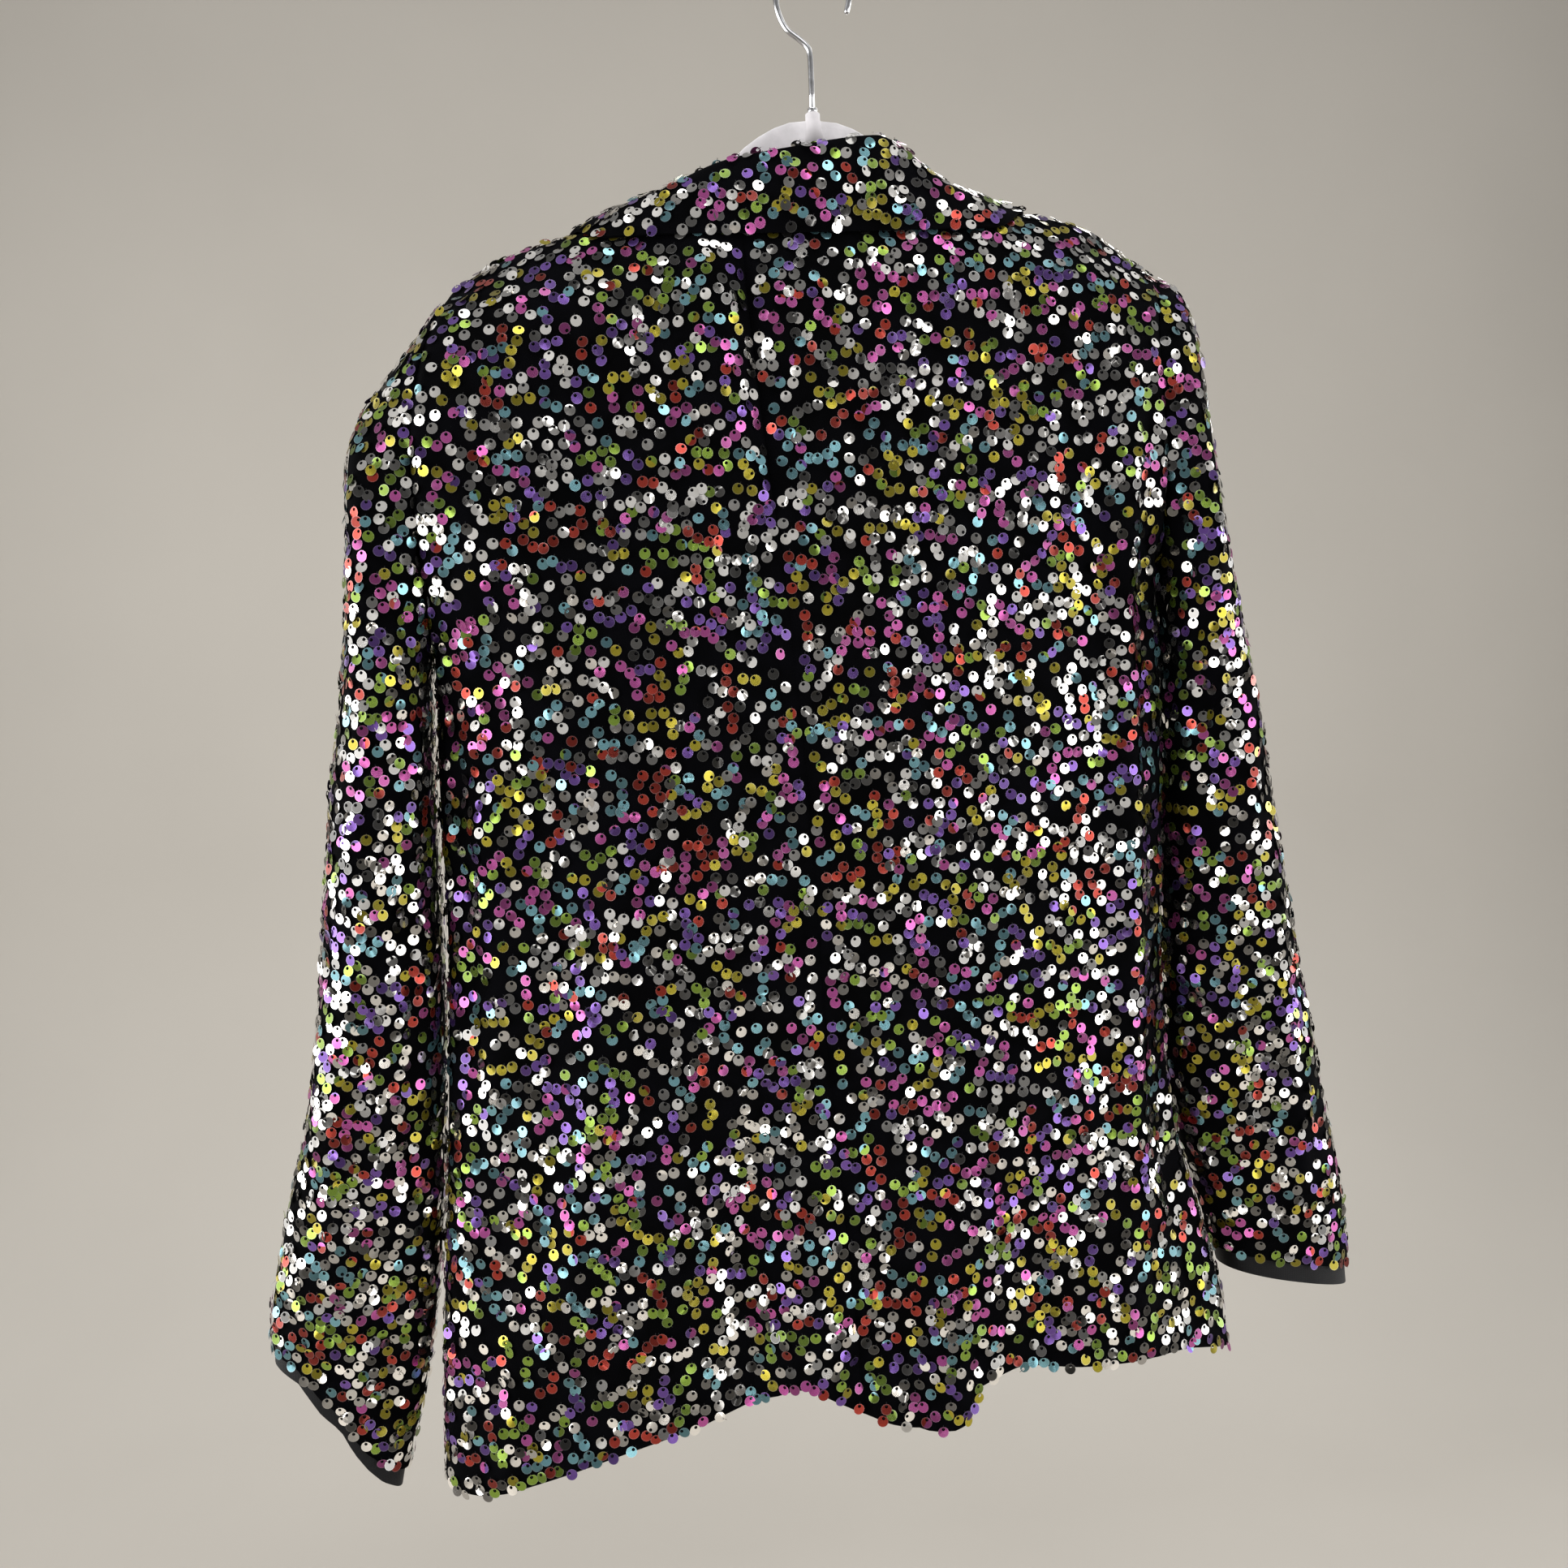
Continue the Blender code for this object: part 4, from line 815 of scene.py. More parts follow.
def woven_facing(colour):
    # Plain black polyester facing, with a low, slightly greasy shine that the
    # ground cloth hasn't. Its 25 threads a centimetre are drawn four times as
    # coarse, so that they show.
    made, tree, shader = finish_base(
        "black_woven_facing", Roughness=0.62, Specular_IOR_Level=0.22, Sheen_Weight=0.03
    )
    place = two_tones(tree, shader, 0.018, colour, 0.45)
    wave = {"wave_type": "BANDS", "Scale": FACING_THREADS / (4 * pi), "Distortion": 0.6}
    threads = []
    for socket, direction in enumerate("XZ"):
        settings = {**wave, "bands_direction": direction}
        thread = node(tree, "ShaderNodeTexWave", settings, [("Vector", place)])
        threads.append((socket, thread.outputs["Fac"]))
    weave = node(tree, "ShaderNodeMath", {"operation": "MAXIMUM"}, threads)
    depth = {"Strength": 0.35, "Distance": 0.0002}
    relief = node(tree, "ShaderNodeBump", depth, [("Height", weave.outputs["Value"])])
    tree.links.new(relief.outputs["Normal"], shader.inputs["Normal"])
    return made


def metallised_film(name, colour, metallic, roughness):
    # Sequins are punched from polyester film with an aluminium coat: the clear
    # ones are plain mirrors and the dyed ones a flatter, coloured gloss, both
    # flashing only where they face a lamp. One film is even all over, so the
    # tones differ from film to film and each disc's own bend gives its streak.
    # The silver films' tones are painted reflections of bright and dark
    # surroundings. The rim is a painted highlight: its colour is mixed towards
    # white, as where the punched edge catches the light.
    made, tree, shader = finish_base(
        name, Roughness=roughness, Metallic=metallic, Coat_Weight=0.12, Coat_Roughness=0.10
    )
    place = node(tree, "ShaderNodeUVMap", {"uv_map": DISC_MAP}).outputs["UV"]
    across = node(tree, "ShaderNodeVectorMath", {"operation": "LENGTH"}, [(0, place)])
    # Painted rim highlight: the colour is mixed towards white near the rim
    rim = from_to(RIM_FROM, 1.0, 0.0, RIM_PAINTED_HIGHLIGHT)
    share = node(tree, "ShaderNodeMapRange", rim, [("Value", across.outputs["Value"])])
    painted_rim_highlight = node(tree, "ShaderNodeMix", {"data_type": "RGBA"}, [("Factor", share.outputs["Result"])])
    painted_rim_highlight.inputs[MIX_FROM].default_value = (*colour, 1.0)
    painted_rim_highlight.inputs[MIX_TO].default_value = (1.0, 1.0, 1.0, 1.0)
    tree.links.new(painted_rim_highlight.outputs[MIX_RESULT], shader.inputs["Base Color"])
    return made


def sewing_thread(colour):
    # Black spun polyester thread: matt, with a faint twist of lighter fibres.
    made, tree, shader = finish_base("black_sewing_thread", Roughness=0.8, Specular_IOR_Level=0.3)
    two_tones(tree, shader, 0.0012, colour, 0.25)
    return made


def flocked_plastic(colour):
    # Polystyrene hanger coated with pale nylon flock: dead matt, soft-edged,
    # brighter at its rims where the upright fibres catch the light. The flock
    # is drawn at 0.6 mm, twice the real fibre clump.
    made, tree, shader = finish_base("pale_flocked_plastic", Roughness=0.95, Specular_IOR_Level=0.2)
    shader.inputs["Sheen Weight"].default_value = 0.45
    shader.inputs["Sheen Roughness"].default_value = 0.5
    place = two_tones(tree, shader, 0.012, colour, 0.8, 0.2)
    tufted(tree, shader, place, 0.0006, 3.0, 0.4, 0.0003)
    return made


def plated_wire(colour):
    # Chrome-plated steel wire: a bright mirror, faintly streaked along its
    # length by drawing and by rubbing on the rail.
    made, tree, shader = finish_base("chrome_plated_wire", Metallic=1.0)
    place = two_tones(tree, shader, 0.010, colour, 0.76)
    rub = node(tree, "ShaderNodeTexNoise", {"Scale": 1 / 0.002, "Detail": 4.0}, [("Vector", place)])
    spread = from_to(0.3, 0.7, 0.08, 0.22)
    rough = node(tree, "ShaderNodeMapRange", spread, [("Value", rub.outputs["Fac"])])
    tree.links.new(rough.outputs["Result"], shader.inputs["Roughness"])
    return made


def moulded_button(colour):
    # Cast polyester button: deep black with a clear gloss and faint clouding.
    made, tree, shader = finish_base(
        "black_moulded_button", Roughness=0.24, Coat_Weight=0.4, Coat_Roughness=0.08
    )
    two_tones(tree, shader, 0.005, colour, 0.35, 0.25)
    return made


def pale_paper(colour):
    # Seamless studio paper: matt, even and warm grey.
    made, tree, shader = finish_base("pale_studio_paper", Roughness=0.9, Specular_IOR_Level=0.2)
    two_tones(tree, shader, 0.6, colour, 0.93, 0.3)
    return made


def make_finishes(context):
    """Makes every finish once, so that all pieces share them."""
    colours = context.scene.blazer_colours
    FINISHES["ground"] = stretch_velvet(colours.cloth)
    FINISHES["facing"] = woven_facing(colours.facing)
    FINISHES["thread"] = sewing_thread(colours.thread)
    FINISHES["flock"] = flocked_plastic(colours.hanger)
    FINISHES["wire"] = plated_wire(colours.hook)
    FINISHES["button"] = moulded_button(colours.button)
    FINISHES["paper"] = pale_paper(colours.paper)
    FINISHES["films"] = [
        metallised_film(name, deepened(getattr(colours, family), depth), metallic, roughness)
        for name, family, _, _, depth, metallic, roughness in FILMS[1:]
    ]
    FINISHES["films"].append(FINISHES["thread"])


def refine(grid, down_steps, across_steps):
    """The same grid with smooth rows and columns added between its own."""
    finer = resample(grid, (len(grid) - 1) * down_steps)
    turned = resample(np.swapaxes(finer, 0, 1), (grid.shape[1] - 1) * across_steps)
    return np.swapaxes(turned, 0, 1)


def refine_ring(grid, down_steps, across_steps):
    """The same for a grid whose last column joins its first."""
    start, end = RING_BEFORE * across_steps, (RING_BEFORE + grid.shape[1]) * across_steps
    wrapped = np.concatenate([grid[:, -RING_BEFORE:], grid, grid[:, :RING_AFTER]], axis=1)
    return refine(wrapped, down_steps, across_steps)[:, start:end]


def refined(grid, normals, steps, finer=refine):
    """A coarse grid and its normals, both made fine."""
    return finer(grid, *steps), unit(finer(normals, *steps))


def border_distances(grid):
    """Distance of each point from the top, bottom, first and last border."""
    down = np.linalg.norm(np.diff(grid, axis=0), axis=-1)
    down = np.concatenate([np.zeros((1, grid.shape[1])), np.cumsum(down, axis=0)])
    across = np.linalg.norm(np.diff(grid, axis=1), axis=-1)
    across = np.concatenate([np.zeros((len(grid), 1)), np.cumsum(across, axis=1)], axis=1)
    return {"top": down, "bottom": down[-1] - down, "first": across, "last": across[:, -1:] - across}


def crease_height(points, normals, scale):
    """Height of the smaller creases at each point of a sheet."""
    x, down = points[..., 0], -points[..., 2]
    total = np.zeros_like(x)
    for face, lines in CREASES.items():
        facing = np.clip(normals[..., 1] * face * CREASE_FADE, 0.0, 1.0)
        for top_x, top_down, foot_x, foot_down, width, height in lines:
            run_x, run_down = foot_x - top_x, foot_down - top_down
            length = np.hypot(run_x, run_down)
            along = np.clip(((x - top_x) * run_x + (down - top_down) * run_down) / length**2, 0.0, 1.0)
            aside = ((x - top_x) * run_down - (down - top_down) * run_x) / length
            rise = height * scale * facing * np.sqrt(np.abs(np.sin(pi * along)))
            total += rise * np.exp(-((aside / width) ** 2))
    return total


def crease(grid, normals, seams, hem, scale):
    """A fine grid with its smaller creases, drawn in along its seams and hem stitches."""
    height = crease_height(grid, normals, scale)
    distances = border_distances(grid)
    for seam in seams:
        height = height - SEAM_DIP * np.exp(-((distances[seam] / SEAM_DIP_WIDE) ** 2))
    if hem:
        stitched = (distances["bottom"] - HEM_STITCH) / HEM_DIP_WIDE
        height = height - HEM_DIP * np.exp(-(stitched**2))
    return grid + normals * height[..., None]


def clear_selection():
    for made in list(bpy.context.selected_objects):
        made.select_set(False)


def mesh_object(name, points, faces, slots, materials):
    """A mesh piece from arrays, smooth-shaded."""
    mesh = bpy.data.meshes.new(name)
    size = faces.shape[1]
    mesh.vertices.add(len(points))
    mesh.vertices.foreach_set("co", points.astype(np.float32).ravel())
    mesh.loops.add(faces.size)
    mesh.loops.foreach_set("vertex_index", faces.astype(np.int32).ravel())
    mesh.polygons.add(len(faces))
    mesh.polygons.foreach_set("loop_start", np.arange(0, faces.size, size, dtype=np.int32))
    mesh.polygons.foreach_set("material_index", slots.astype(np.int32))
    for finish in materials:
        mesh.materials.append(finish)
    mesh.update(calc_edges=True)
    mesh.validate()
    made = bpy.data.objects.new(name, mesh)
    bpy.context.collection.objects.link(made)
    mesh.shade_smooth()
    return made


def signed_volume(points, faces):
    a, b, c, d = (points[faces[:, k]] for k in range(4))
    return (a * np.cross(b, c)).sum() + (a * np.cross(c, d)).sum()


def shell(name, outer, normals, finish, ring=False, thick=CLOTH):
    """A closed sheet: the outer grid, the same grid moved in, and its rims."""
    rows, columns = outer.shape[:2]
    inner = outer - normals * thick
    points = np.concatenate([outer.reshape(-1, 3), inner.reshape(-1, 3)])
    shift = rows * columns
    index = np.arange(shift).reshape(rows, columns)
    if ring:
        index = np.concatenate([index, index[:, :1]], axis=1)
    a, b, c, d = index[:-1, :-1], index[:-1, 1:], index[1:, 1:], index[1:, :-1]
    sides = [np.stack([a, d, c, b], axis=-1), np.stack([a, b, c, d], axis=-1) + shift]
    rims = [index[0, ::-1], index[-1]]
    if not ring:
        rims += [index[:, 0], index[::-1, -1]]
    sides += [np.stack([e[:-1], e[1:], e[1:] + shift, e[:-1] + shift], axis=-1) for e in rims]
    faces = np.concatenate([side.reshape(-1, 4) for side in sides])
    if signed_volume(points, faces) < 0:
        faces = faces[:, ::-1]
    made = mesh_object(name, points, faces, np.zeros(len(faces)), [finish])
    made.data.set_sharp_from_angle(angle=radians(CLOTH_SHARP))
    return made


def dress(made, slot, *nodes):
    """Seats a finished piece on the blazer and hides the imported parts that it stands for."""
    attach(made, BODY)
    if nodes:
        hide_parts(*nodes)


def sequin_pattern(sizes):
    """One flat sequin and the thread over its rim, modelled once."""
    radius = sizes.sequin_diameter / 2
    clear_selection()
    bpy.ops.mesh.primitive_circle_add(vertices=RIM_SIDES, radius=radius)
    made = bpy.context.object
    bpy.ops.object.mode_set(mode="EDIT")
    bpy.ops.mesh.primitive_circle_add(
        vertices=HOLE_SIDES, radius=sizes.sequin_hole / 2, location=(0, HOLE_OFFSET, 0)
    )
    bpy.ops.mesh.select_all(action="SELECT")
    bpy.ops.mesh.bridge_edge_loops()
    bpy.ops.mesh.quads_convert_to_tris()
    bpy.ops.object.mode_set(mode="OBJECT")
    points = np.array([v.co for v in made.data.vertices])
    faces = np.array([p.vertices for p in made.data.polygons])
    bpy.data.objects.remove(made)
    a, b, c = (points[faces[:, k]] for k in range(3))
    inward = np.cross(b - a, c - a)[:, 2] < 0
    faces[inward] = faces[inward][:, ::-1]
    half, over, low = THREAD_WIDE / 2, radius + THREAD_OVER, -LIFT / 2
    thread = [(-half, HOLE_OFFSET, half), (half, HOLE_OFFSET, half), (half, over, low), (-half, over, low)]
    thread_faces = np.array([(0, 1, 2), (0, 2, 3)]) + len(points)
    return np.concatenate([points, thread]), np.concatenate([faces, thread_faces]), len(faces)


def at(grid, u, v):
    """Value of a grid at fractional rows and columns, and its two slopes."""
    i = np.clip(u.astype(int), 0, grid.shape[0] - 2)
    j = np.clip(v.astype(int), 0, grid.shape[1] - 2)
    a, b = (u - i)[:, None], (v - j)[:, None]
    corner, below, beside, far = grid[i, j], grid[i + 1, j], grid[i, j + 1], grid[i + 1, j + 1]
    value = (corner * (1 - a) + below * a) * (1 - b) + (beside * (1 - a) + far * a) * b
    along = (below - corner) * (1 - b) + (far - beside) * b
    across = (beside - corner) * (1 - a) + (far - below) * a
    return value, along, across


def walk(along, across, heading, stride):
    """Rows and columns that lead the given stride over the sheet."""
    first = unit(along)
    second = np.cross(unit(np.cross(along, across)), first)
    way = (first * np.cos(heading)[:, None] + second * np.sin(heading)[:, None]) * stride[:, None]
    aa, bb, ab = (along * along).sum(1), (across * across).sum(1), (along * across).sum(1)
    wa, wb = (way * along).sum(1), (way * across).sum(1)
    whole = aa * bb - ab * ab
    return (wa * bb - wb * ab) / whole, (wb * aa - wa * ab) / whole


def grow_chains(name, sizes, rng):
    """Short random runs of sequin places over a sheet, one row for each step."""
    _, grid, _, margins = SEWN[name]
    along = grid[1:, :-1] - grid[:-1, :-1]
    across = grid[:-1, 1:] - grid[:-1, :-1]
    areas = np.linalg.norm(np.cross(along, across), axis=-1).ravel()
    wanted = int(areas.sum() * CM2_IN_M2 * sizes.sequins_per_cm2 * DENSER.get(name, 1.0))
    longest = len(CHAIN_SHARES)
    count = int(wanted * SPARE_CHAINS / np.dot(CHAIN_SHARES, np.arange(1, longest + 1)))
    cell = rng.choice(len(areas), count, p=areas / areas.sum())
    u = cell // (grid.shape[1] - 1) + rng.random(count)
    v = cell % (grid.shape[1] - 1) + rng.random(count)
    distances = border_distances(grid)
    if margins["bottom"] < 0:
        hem = distances["first"][-1]
        dangling = int(hem[-1] / HEM_CHAINS)
        u[:dangling] = grid.shape[0] - 1 + rng.uniform(*HEM_ROWS, dangling)
        v[:dangling] = np.interp(rng.uniform(0, hem[-1], dangling), hem, np.arange(len(hem)))
    length = rng.choice(longest, count, p=CHAIN_SHARES) + 1
    heading = rng.integers(0, 2, count) * pi + rng.normal(0, radians(CHAIN_SPREAD), count)
    rows = []
    for step in range(longest):
        place, along, across = at(grid, u, v)
        inside = (u >= 0) & (v >= 0) & (v <= grid.shape[1] - 1)
        for border, margin in margins.items():
            inside &= at(distances[border][..., None], u, v)[0][:, 0] >= margin
        rows.append((u, v, place, inside & (step < length) & uncovered(name, place)))
        heading += rng.normal(0, radians(CHAIN_BEND), count)
        stride = sizes.sequin_diameter * rng.uniform(*CHAIN_STEP, count)
        down, aside = walk(along, across, heading, stride)
        u, v = u + down, v + aside
    return rows, wanted


def settle_chains(rows, wanted, across, rng):
    """Keeps the places that aren't too near others, with how high each stacks."""
    count = len(rows[0][0])
    near = across * np.where(rng.random(count) < CLOSE_CHAINS, *NEAREST)
    roomy = across * ROOMY
    taken, kept = {}, []
    around = [(i, j, k) for i in (-1, 0, 1) for j in (-1, 0, 1) for k in (-1, 0, 1)]
    for chain in range(count):
        for step, (u, v, place, valid) in enumerate(rows):
            if not valid[chain]:
                break
            x, y, z = place[chain]
            home = (int(x // roomy), int(y // roomy), int(z // roomy))
            nearest = roomy if step == 0 and chain < count * ROOMY_SHARE else near[chain]
            level = 0
            for i, j, k in around:
                for ox, oy, oz, other, high in taken.get((home[0] + i, home[1] + j, home[2] + k), ()):
                    apart = ((x - ox) ** 2 + (y - oy) ** 2 + (z - oz) ** 2) ** 0.5
                    if other != chain and apart < nearest:
                        level = TOO_NEAR
                    elif apart < across:
                        level = max(level, high + 1) if level >= 0 else level
            if level < 0 or level > TOP_LEVEL:
                break
            taken.setdefault(home, []).append((x, y, z, chain, level))
            kept.append((chain, u[chain], v[chain], level))
        if len(kept) >= wanted:
            break
    return np.array(kept)


def film_slots(chains, rng):
    """Film of each sequin: its chain's family, in one of the family's tones.

    The second row is the film that shows beside it where the sequin was
    punched across two stripes, and the same film on all others.
    """
    families = list(dict.fromkeys(row[1] for row in FILMS[1:]))
    shares = np.array([next(row[2] for row in FILMS[1:] if row[1] == name) for name in families])
    chosen = rng.choice(len(families), int(chains.max()) + 1, p=shares / shares.sum())[chains]
    striped = (rng.random(len(chains)) < STRIPED) & (chosen > 0)
    beside = np.where(striped, chosen % (len(families) - 1) + 1, chosen)
    first = tones_of(families, chosen, rng)
    return np.stack([first, np.where(striped, tones_of(families, beside, rng), first)])


def tones_of(families, chosen, rng):
    """One of the tones of each sequin's family, picked by their shares."""
    slots = np.zeros(len(chosen), int)
    for k, name in enumerate(families):
        tones = [i for i, row in enumerate(FILMS[1:]) if row[1] == name]
        weights = np.array([FILMS[1 + i][3] for i in tones])
        here = np.flatnonzero(chosen == k)
        slots[here] = rng.choice(tones, len(here), p=weights / weights.sum())
    return slots


def hang_discs(grid, normals, u, v, level, radius, rng):
    """Middles and axes of the sequins, each tilted, stacked and swung on its thread."""
    count = len(u)
    place, along, _ = at(grid, u, v)
    out = unit(at(normals, u, v)[0])
    first = unit(along - out * (along * out).sum(1, keepdims=True))
    second = np.cross(out, first)
    tilt = np.tan(np.radians(rng.normal(0, TILT, (count, 2))))
    facing = unit(out + first * tilt[:, :1] + second * tilt[:, 1:])
    up = np.array((0.0, 0.0, 1.0)) - facing * facing[:, 2:]
    up = unit(np.where(np.linalg.norm(up, axis=1, keepdims=True) > LEAST_UPRIGHT, up, first))
    swing = np.radians(rng.normal(0, SWING, count))
    swing = np.where(rng.random(count) < FREE_SWING, rng.uniform(-pi, pi, count), swing)[:, None]
    local_y = up * np.cos(swing) + np.cross(facing, up) * np.sin(swing)
    lift = LIFT + level * LEVEL_LIFT + radius * np.abs(tilt).max(axis=1) / 2
    return place + out * lift[:, None], np.cross(local_y, facing), local_y, facing


def sew_sequins(name, seed, sizes, pattern):
    """All the sequins of one cloth piece, as one joined mesh."""
    _, grid, normals, _ = SEWN[name]
    points, faces, film_faces = pattern
    radius = sizes.sequin_diameter / 2
    rng = np.random.default_rng(seed)
    rows, wanted = grow_chains(name, sizes, rng)
    kept = settle_chains(rows, wanted, sizes.sequin_diameter, rng)
    count = len(kept)
    chains, u, v, level = kept.T
    middle, local_x, local_y, facing = hang_discs(grid, normals, u, v, level, radius, rng)
    turn = rng.uniform(0, pi, (count, 1))
    bend = rng.normal(0, BEND, (count, 1))
    flat_x, flat_y, flat_z = points.T
    height = flat_z + bend * ((flat_x * np.cos(turn) + flat_y * np.sin(turn)) / radius) ** 2
    made = (
        middle[:, None]
        + local_x[:, None] * flat_x[:, None]
        + local_y[:, None] * flat_y[:, None]
        + facing[:, None] * height[..., None]
    )
    joined = (faces[None] + (np.arange(count) * len(points))[:, None, None]).reshape(-1, 3)
    middles = points[faces].mean(axis=1)
    heading = rng.uniform(0, 2 * pi, (count, 1))
    aside = middles[:, 0] * np.cos(heading) + (middles[:, 1] - HOLE_OFFSET) * np.sin(heading) > 0
    films = film_slots(chains.astype(int), rng)
    slots = np.where(aside, films[0][:, None], films[1][:, None])
    slots[:, film_faces:] = len(FINISHES["films"]) - 1
    sewn = mesh_object("sequins_" + name, made.reshape(-1, 3), joined, slots.ravel(), FINISHES["films"])
    corners = points[faces][..., :2] / radius
    corners[film_faces:] = 0.0
    disc_map = sewn.data.uv_layers.new(name=DISC_MAP)
    disc_map.data.foreach_set("uv", np.tile(corners.ravel(), count).astype(np.float32))
    return sewn


def select_only(made):
    clear_selection()
    made.select_set(True)
    bpy.context.view_layer.objects.active = made


def give_finish(made, finish, angle):
    """Smooths the selected piece up to the angle and gives it its finish."""
    bpy.ops.object.shade_smooth_by_angle(angle=radians(angle))
    made.data.materials.clear()
    made.data.materials.append(FINISHES[finish])
    return made


def merged_copy(node_name, name, finish, angle):
    """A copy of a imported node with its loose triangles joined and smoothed."""
    made = bpy.data.objects.new(name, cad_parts[node_name].data.copy())
    bpy.context.collection.objects.link(made)
    select_only(made)
    bpy.ops.object.mode_set(mode="EDIT")
    bpy.ops.mesh.select_all(action="SELECT")
    bpy.ops.mesh.remove_doubles(threshold=MERGE_WITHIN)
    bpy.ops.object.mode_set(mode="OBJECT")
    return give_finish(made, finish, angle)


def settle(made, name, finish, angle):
    """Names a modelled piece, seats it at the origin and gives it its finish."""
    select_only(made)
    bpy.ops.object.transform_apply(location=True, rotation=True, scale=True)
    made.name = made.data.name = name
    return give_finish(made, finish, angle)


def apply_modifier(made, kind, **settings):
    """Gives a piece one modifier with its settings and applies it."""
    modifier = made.modifiers.new(kind.lower(), kind)
    for name, value in settings.items():
        setattr(modifier, name, value)
    bpy.context.view_layer.objects.active = made
    bpy.ops.object.modifier_apply(modifier=modifier.name)


def round_edges(made, width, steps):
    apply_modifier(made, "BEVEL", width=width, segments=steps, limit_method="ANGLE")


def turn_ferrule():
    """Small plated ferrule where the wire enters the neck of the hanger."""
    clear_selection()
    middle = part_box("hanger_body")[1].z + FERRULE_HIGH / 2 + GAP
    bpy.ops.mesh.primitive_cylinder_add(
        vertices=FERRULE_SIDES, radius=FERRULE_RADIUS, depth=FERRULE_HIGH, location=(0, 0, middle)
    )
    made = bpy.context.object
    round_edges(made, FERRULE_ROUND, EDGE_STEPS)
    return settle(made, "hook_ferrule", "wire", SHARP_ABOVE)


def drill_hole(made, place, long):
    """Cuts one round hole through the button, from front to back."""
    bpy.ops.mesh.primitive_cylinder_add(
        vertices=DRILL_SIDES, radius=BUTTON_DRILL, depth=long, location=place, rotation=(pi / 2, 0, 0)
    )
    drill = bpy.context.object
    apply_modifier(made, "BOOLEAN", solver="EXACT", operation="DIFFERENCE", object=drill)
    bpy.data.objects.remove(drill)


def turn_button():
    """Four-hole button: a disc with a raised rim, drilled and softened."""
    clear_selection()
    low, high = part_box("button")
    middle = (low + high) / 2
    radius = (high.x - low.x) / 2
    thick = high.y - low.y
    bpy.ops.mesh.primitive_cylinder_add(
        vertices=BUTTON_SIDES, radius=radius, depth=thick, location=middle, rotation=(-pi / 2, 0, 0)
    )
    made = bpy.context.object
    bpy.ops.object.transform_apply(location=True, rotation=True, scale=True)
    for polygon in made.data.polygons:
        polygon.select = polygon.normal.y > FACES_FRONT
    bpy.ops.object.mode_set(mode="EDIT")
    bpy.ops.mesh.inset(thickness=radius * BUTTON_RIM)
    bpy.ops.mesh.inset(thickness=radius * BUTTON_STEP, depth=-thick * BUTTON_DISH)
    bpy.ops.object.mode_set(mode="OBJECT")
    round_edges(made, thick * BUTTON_ROUND, EDGE_STEPS)
    for x in (middle.x - BUTTON_HOLES, middle.x + BUTTON_HOLES):
        for z in (middle.z - BUTTON_HOLES, middle.z + BUTTON_HOLES):
            drill_hole(made, (x, middle.y, z), thick * DRILL_LONG)
    return settle(made, "moulded_button", "button", SHARP_ABOVE)


def stand(made, right, up, back, place):
    """Puts a camera or lamp at its place, looking away from its back."""
    columns = np.stack([right, up, back, place], axis=1)
    made.matrix_world = Matrix([*columns.tolist(), (0.0, 0.0, 0.0, 1.0)])


def place_camera(context):
    """Camera as the picture was taken, a little turned and tilted."""
    yaw, pitch, roll = radians(CAMERA_YAW), radians(CAMERA_PITCH), radians(CAMERA_ROLL)
    ahead = np.array((sin(yaw) * cos(pitch), cos(yaw) * cos(pitch), sin(pitch)))
    level = np.array((cos(yaw), -sin(yaw), 0.0))
    upright = np.cross(level, ahead)
    data = bpy.data.cameras.new("camera")
    data.lens = CAMERA_LENS
    data.sensor_width = CAMERA_SENSOR
    data.clip_start = CAMERA_NEAR
    made = bpy.data.objects.new("camera", data)
    right = level * cos(roll) + upright * sin(roll)
    stand(made, right, -level * sin(roll) + upright * cos(roll), -ahead, CAMERA_PLACE)
    context.collection.objects.link(made)
    context.scene.camera = made
    context.scene.view_settings.view_transform = "Standard"


def place_lamps(context):
    """Soft lamps round the blazer."""
    for name, x, y, z, wide, high, share in LAMPS[1:]:
        bpy.ops.object.light_add(type="AREA", location=(x, y, z))
        lamp = context.object
        lamp.name = name
        lamp.data.shape = "RECTANGLE"
        lamp.data.size = wide
        lamp.data.size_y = high
        lamp.data.energy = sizes_of(context).lamp_power * share
        lamp.visible_camera = False
        back = unit(np.array((x, y, z)) - LAMP_AIM)
        across = unit(np.cross((0.0, 0.0, 1.0), back))
        stand(lamp, across, np.cross(back, across), back, (x, y, z))


def light_room(context):
    """Pale light from everywhere else, by how high and how far aside it comes."""
    world = bpy.data.worlds.new("pale_room")
    world.use_nodes = True
    tree = world.node_tree
    sky = tree.nodes["Background"]
    way = node(tree, "ShaderNodeTexCoord", {}).outputs["Generated"]
    parts = node(tree, "ShaderNodeSeparateXYZ", {}, [("Vector", way)]).outputs
    rise = node(tree, "ShaderNodeMapRange", from_to(-1.0, 1.0, 0.0, 1.0), [("Value", parts["Z"])])
    ramp = node(tree, "ShaderNodeValToRGB", {}, [("Fac", rise.outputs["Result"])])
    ramp.color_ramp.interpolation = "EASE"
    bands = ramp.color_ramp.elements
    while len(bands) < len(ROOM_BANDS) - 1:
        bands.new(0.5)
    for band, (height, colour) in zip(bands, ROOM_BANDS[1:]):
        band.position = (height + 1) / 2
        band.color = (*linear(colour), 1.0)
    tree.links.new(ramp.outputs["Color"], sky.inputs["Color"])
    aside = node(tree, "ShaderNodeMath", {"operation": "ABSOLUTE"}, [(0, parts["X"])])
    spread = from_to(*ROOM_TURN, *ROOM_STRENGTH)
    strength = node(tree, "ShaderNodeMapRange", spread, [("Value", aside.outputs["Value"])])
    tree.links.new(strength.outputs["Result"], sky.inputs["Strength"])
    context.scene.world = world


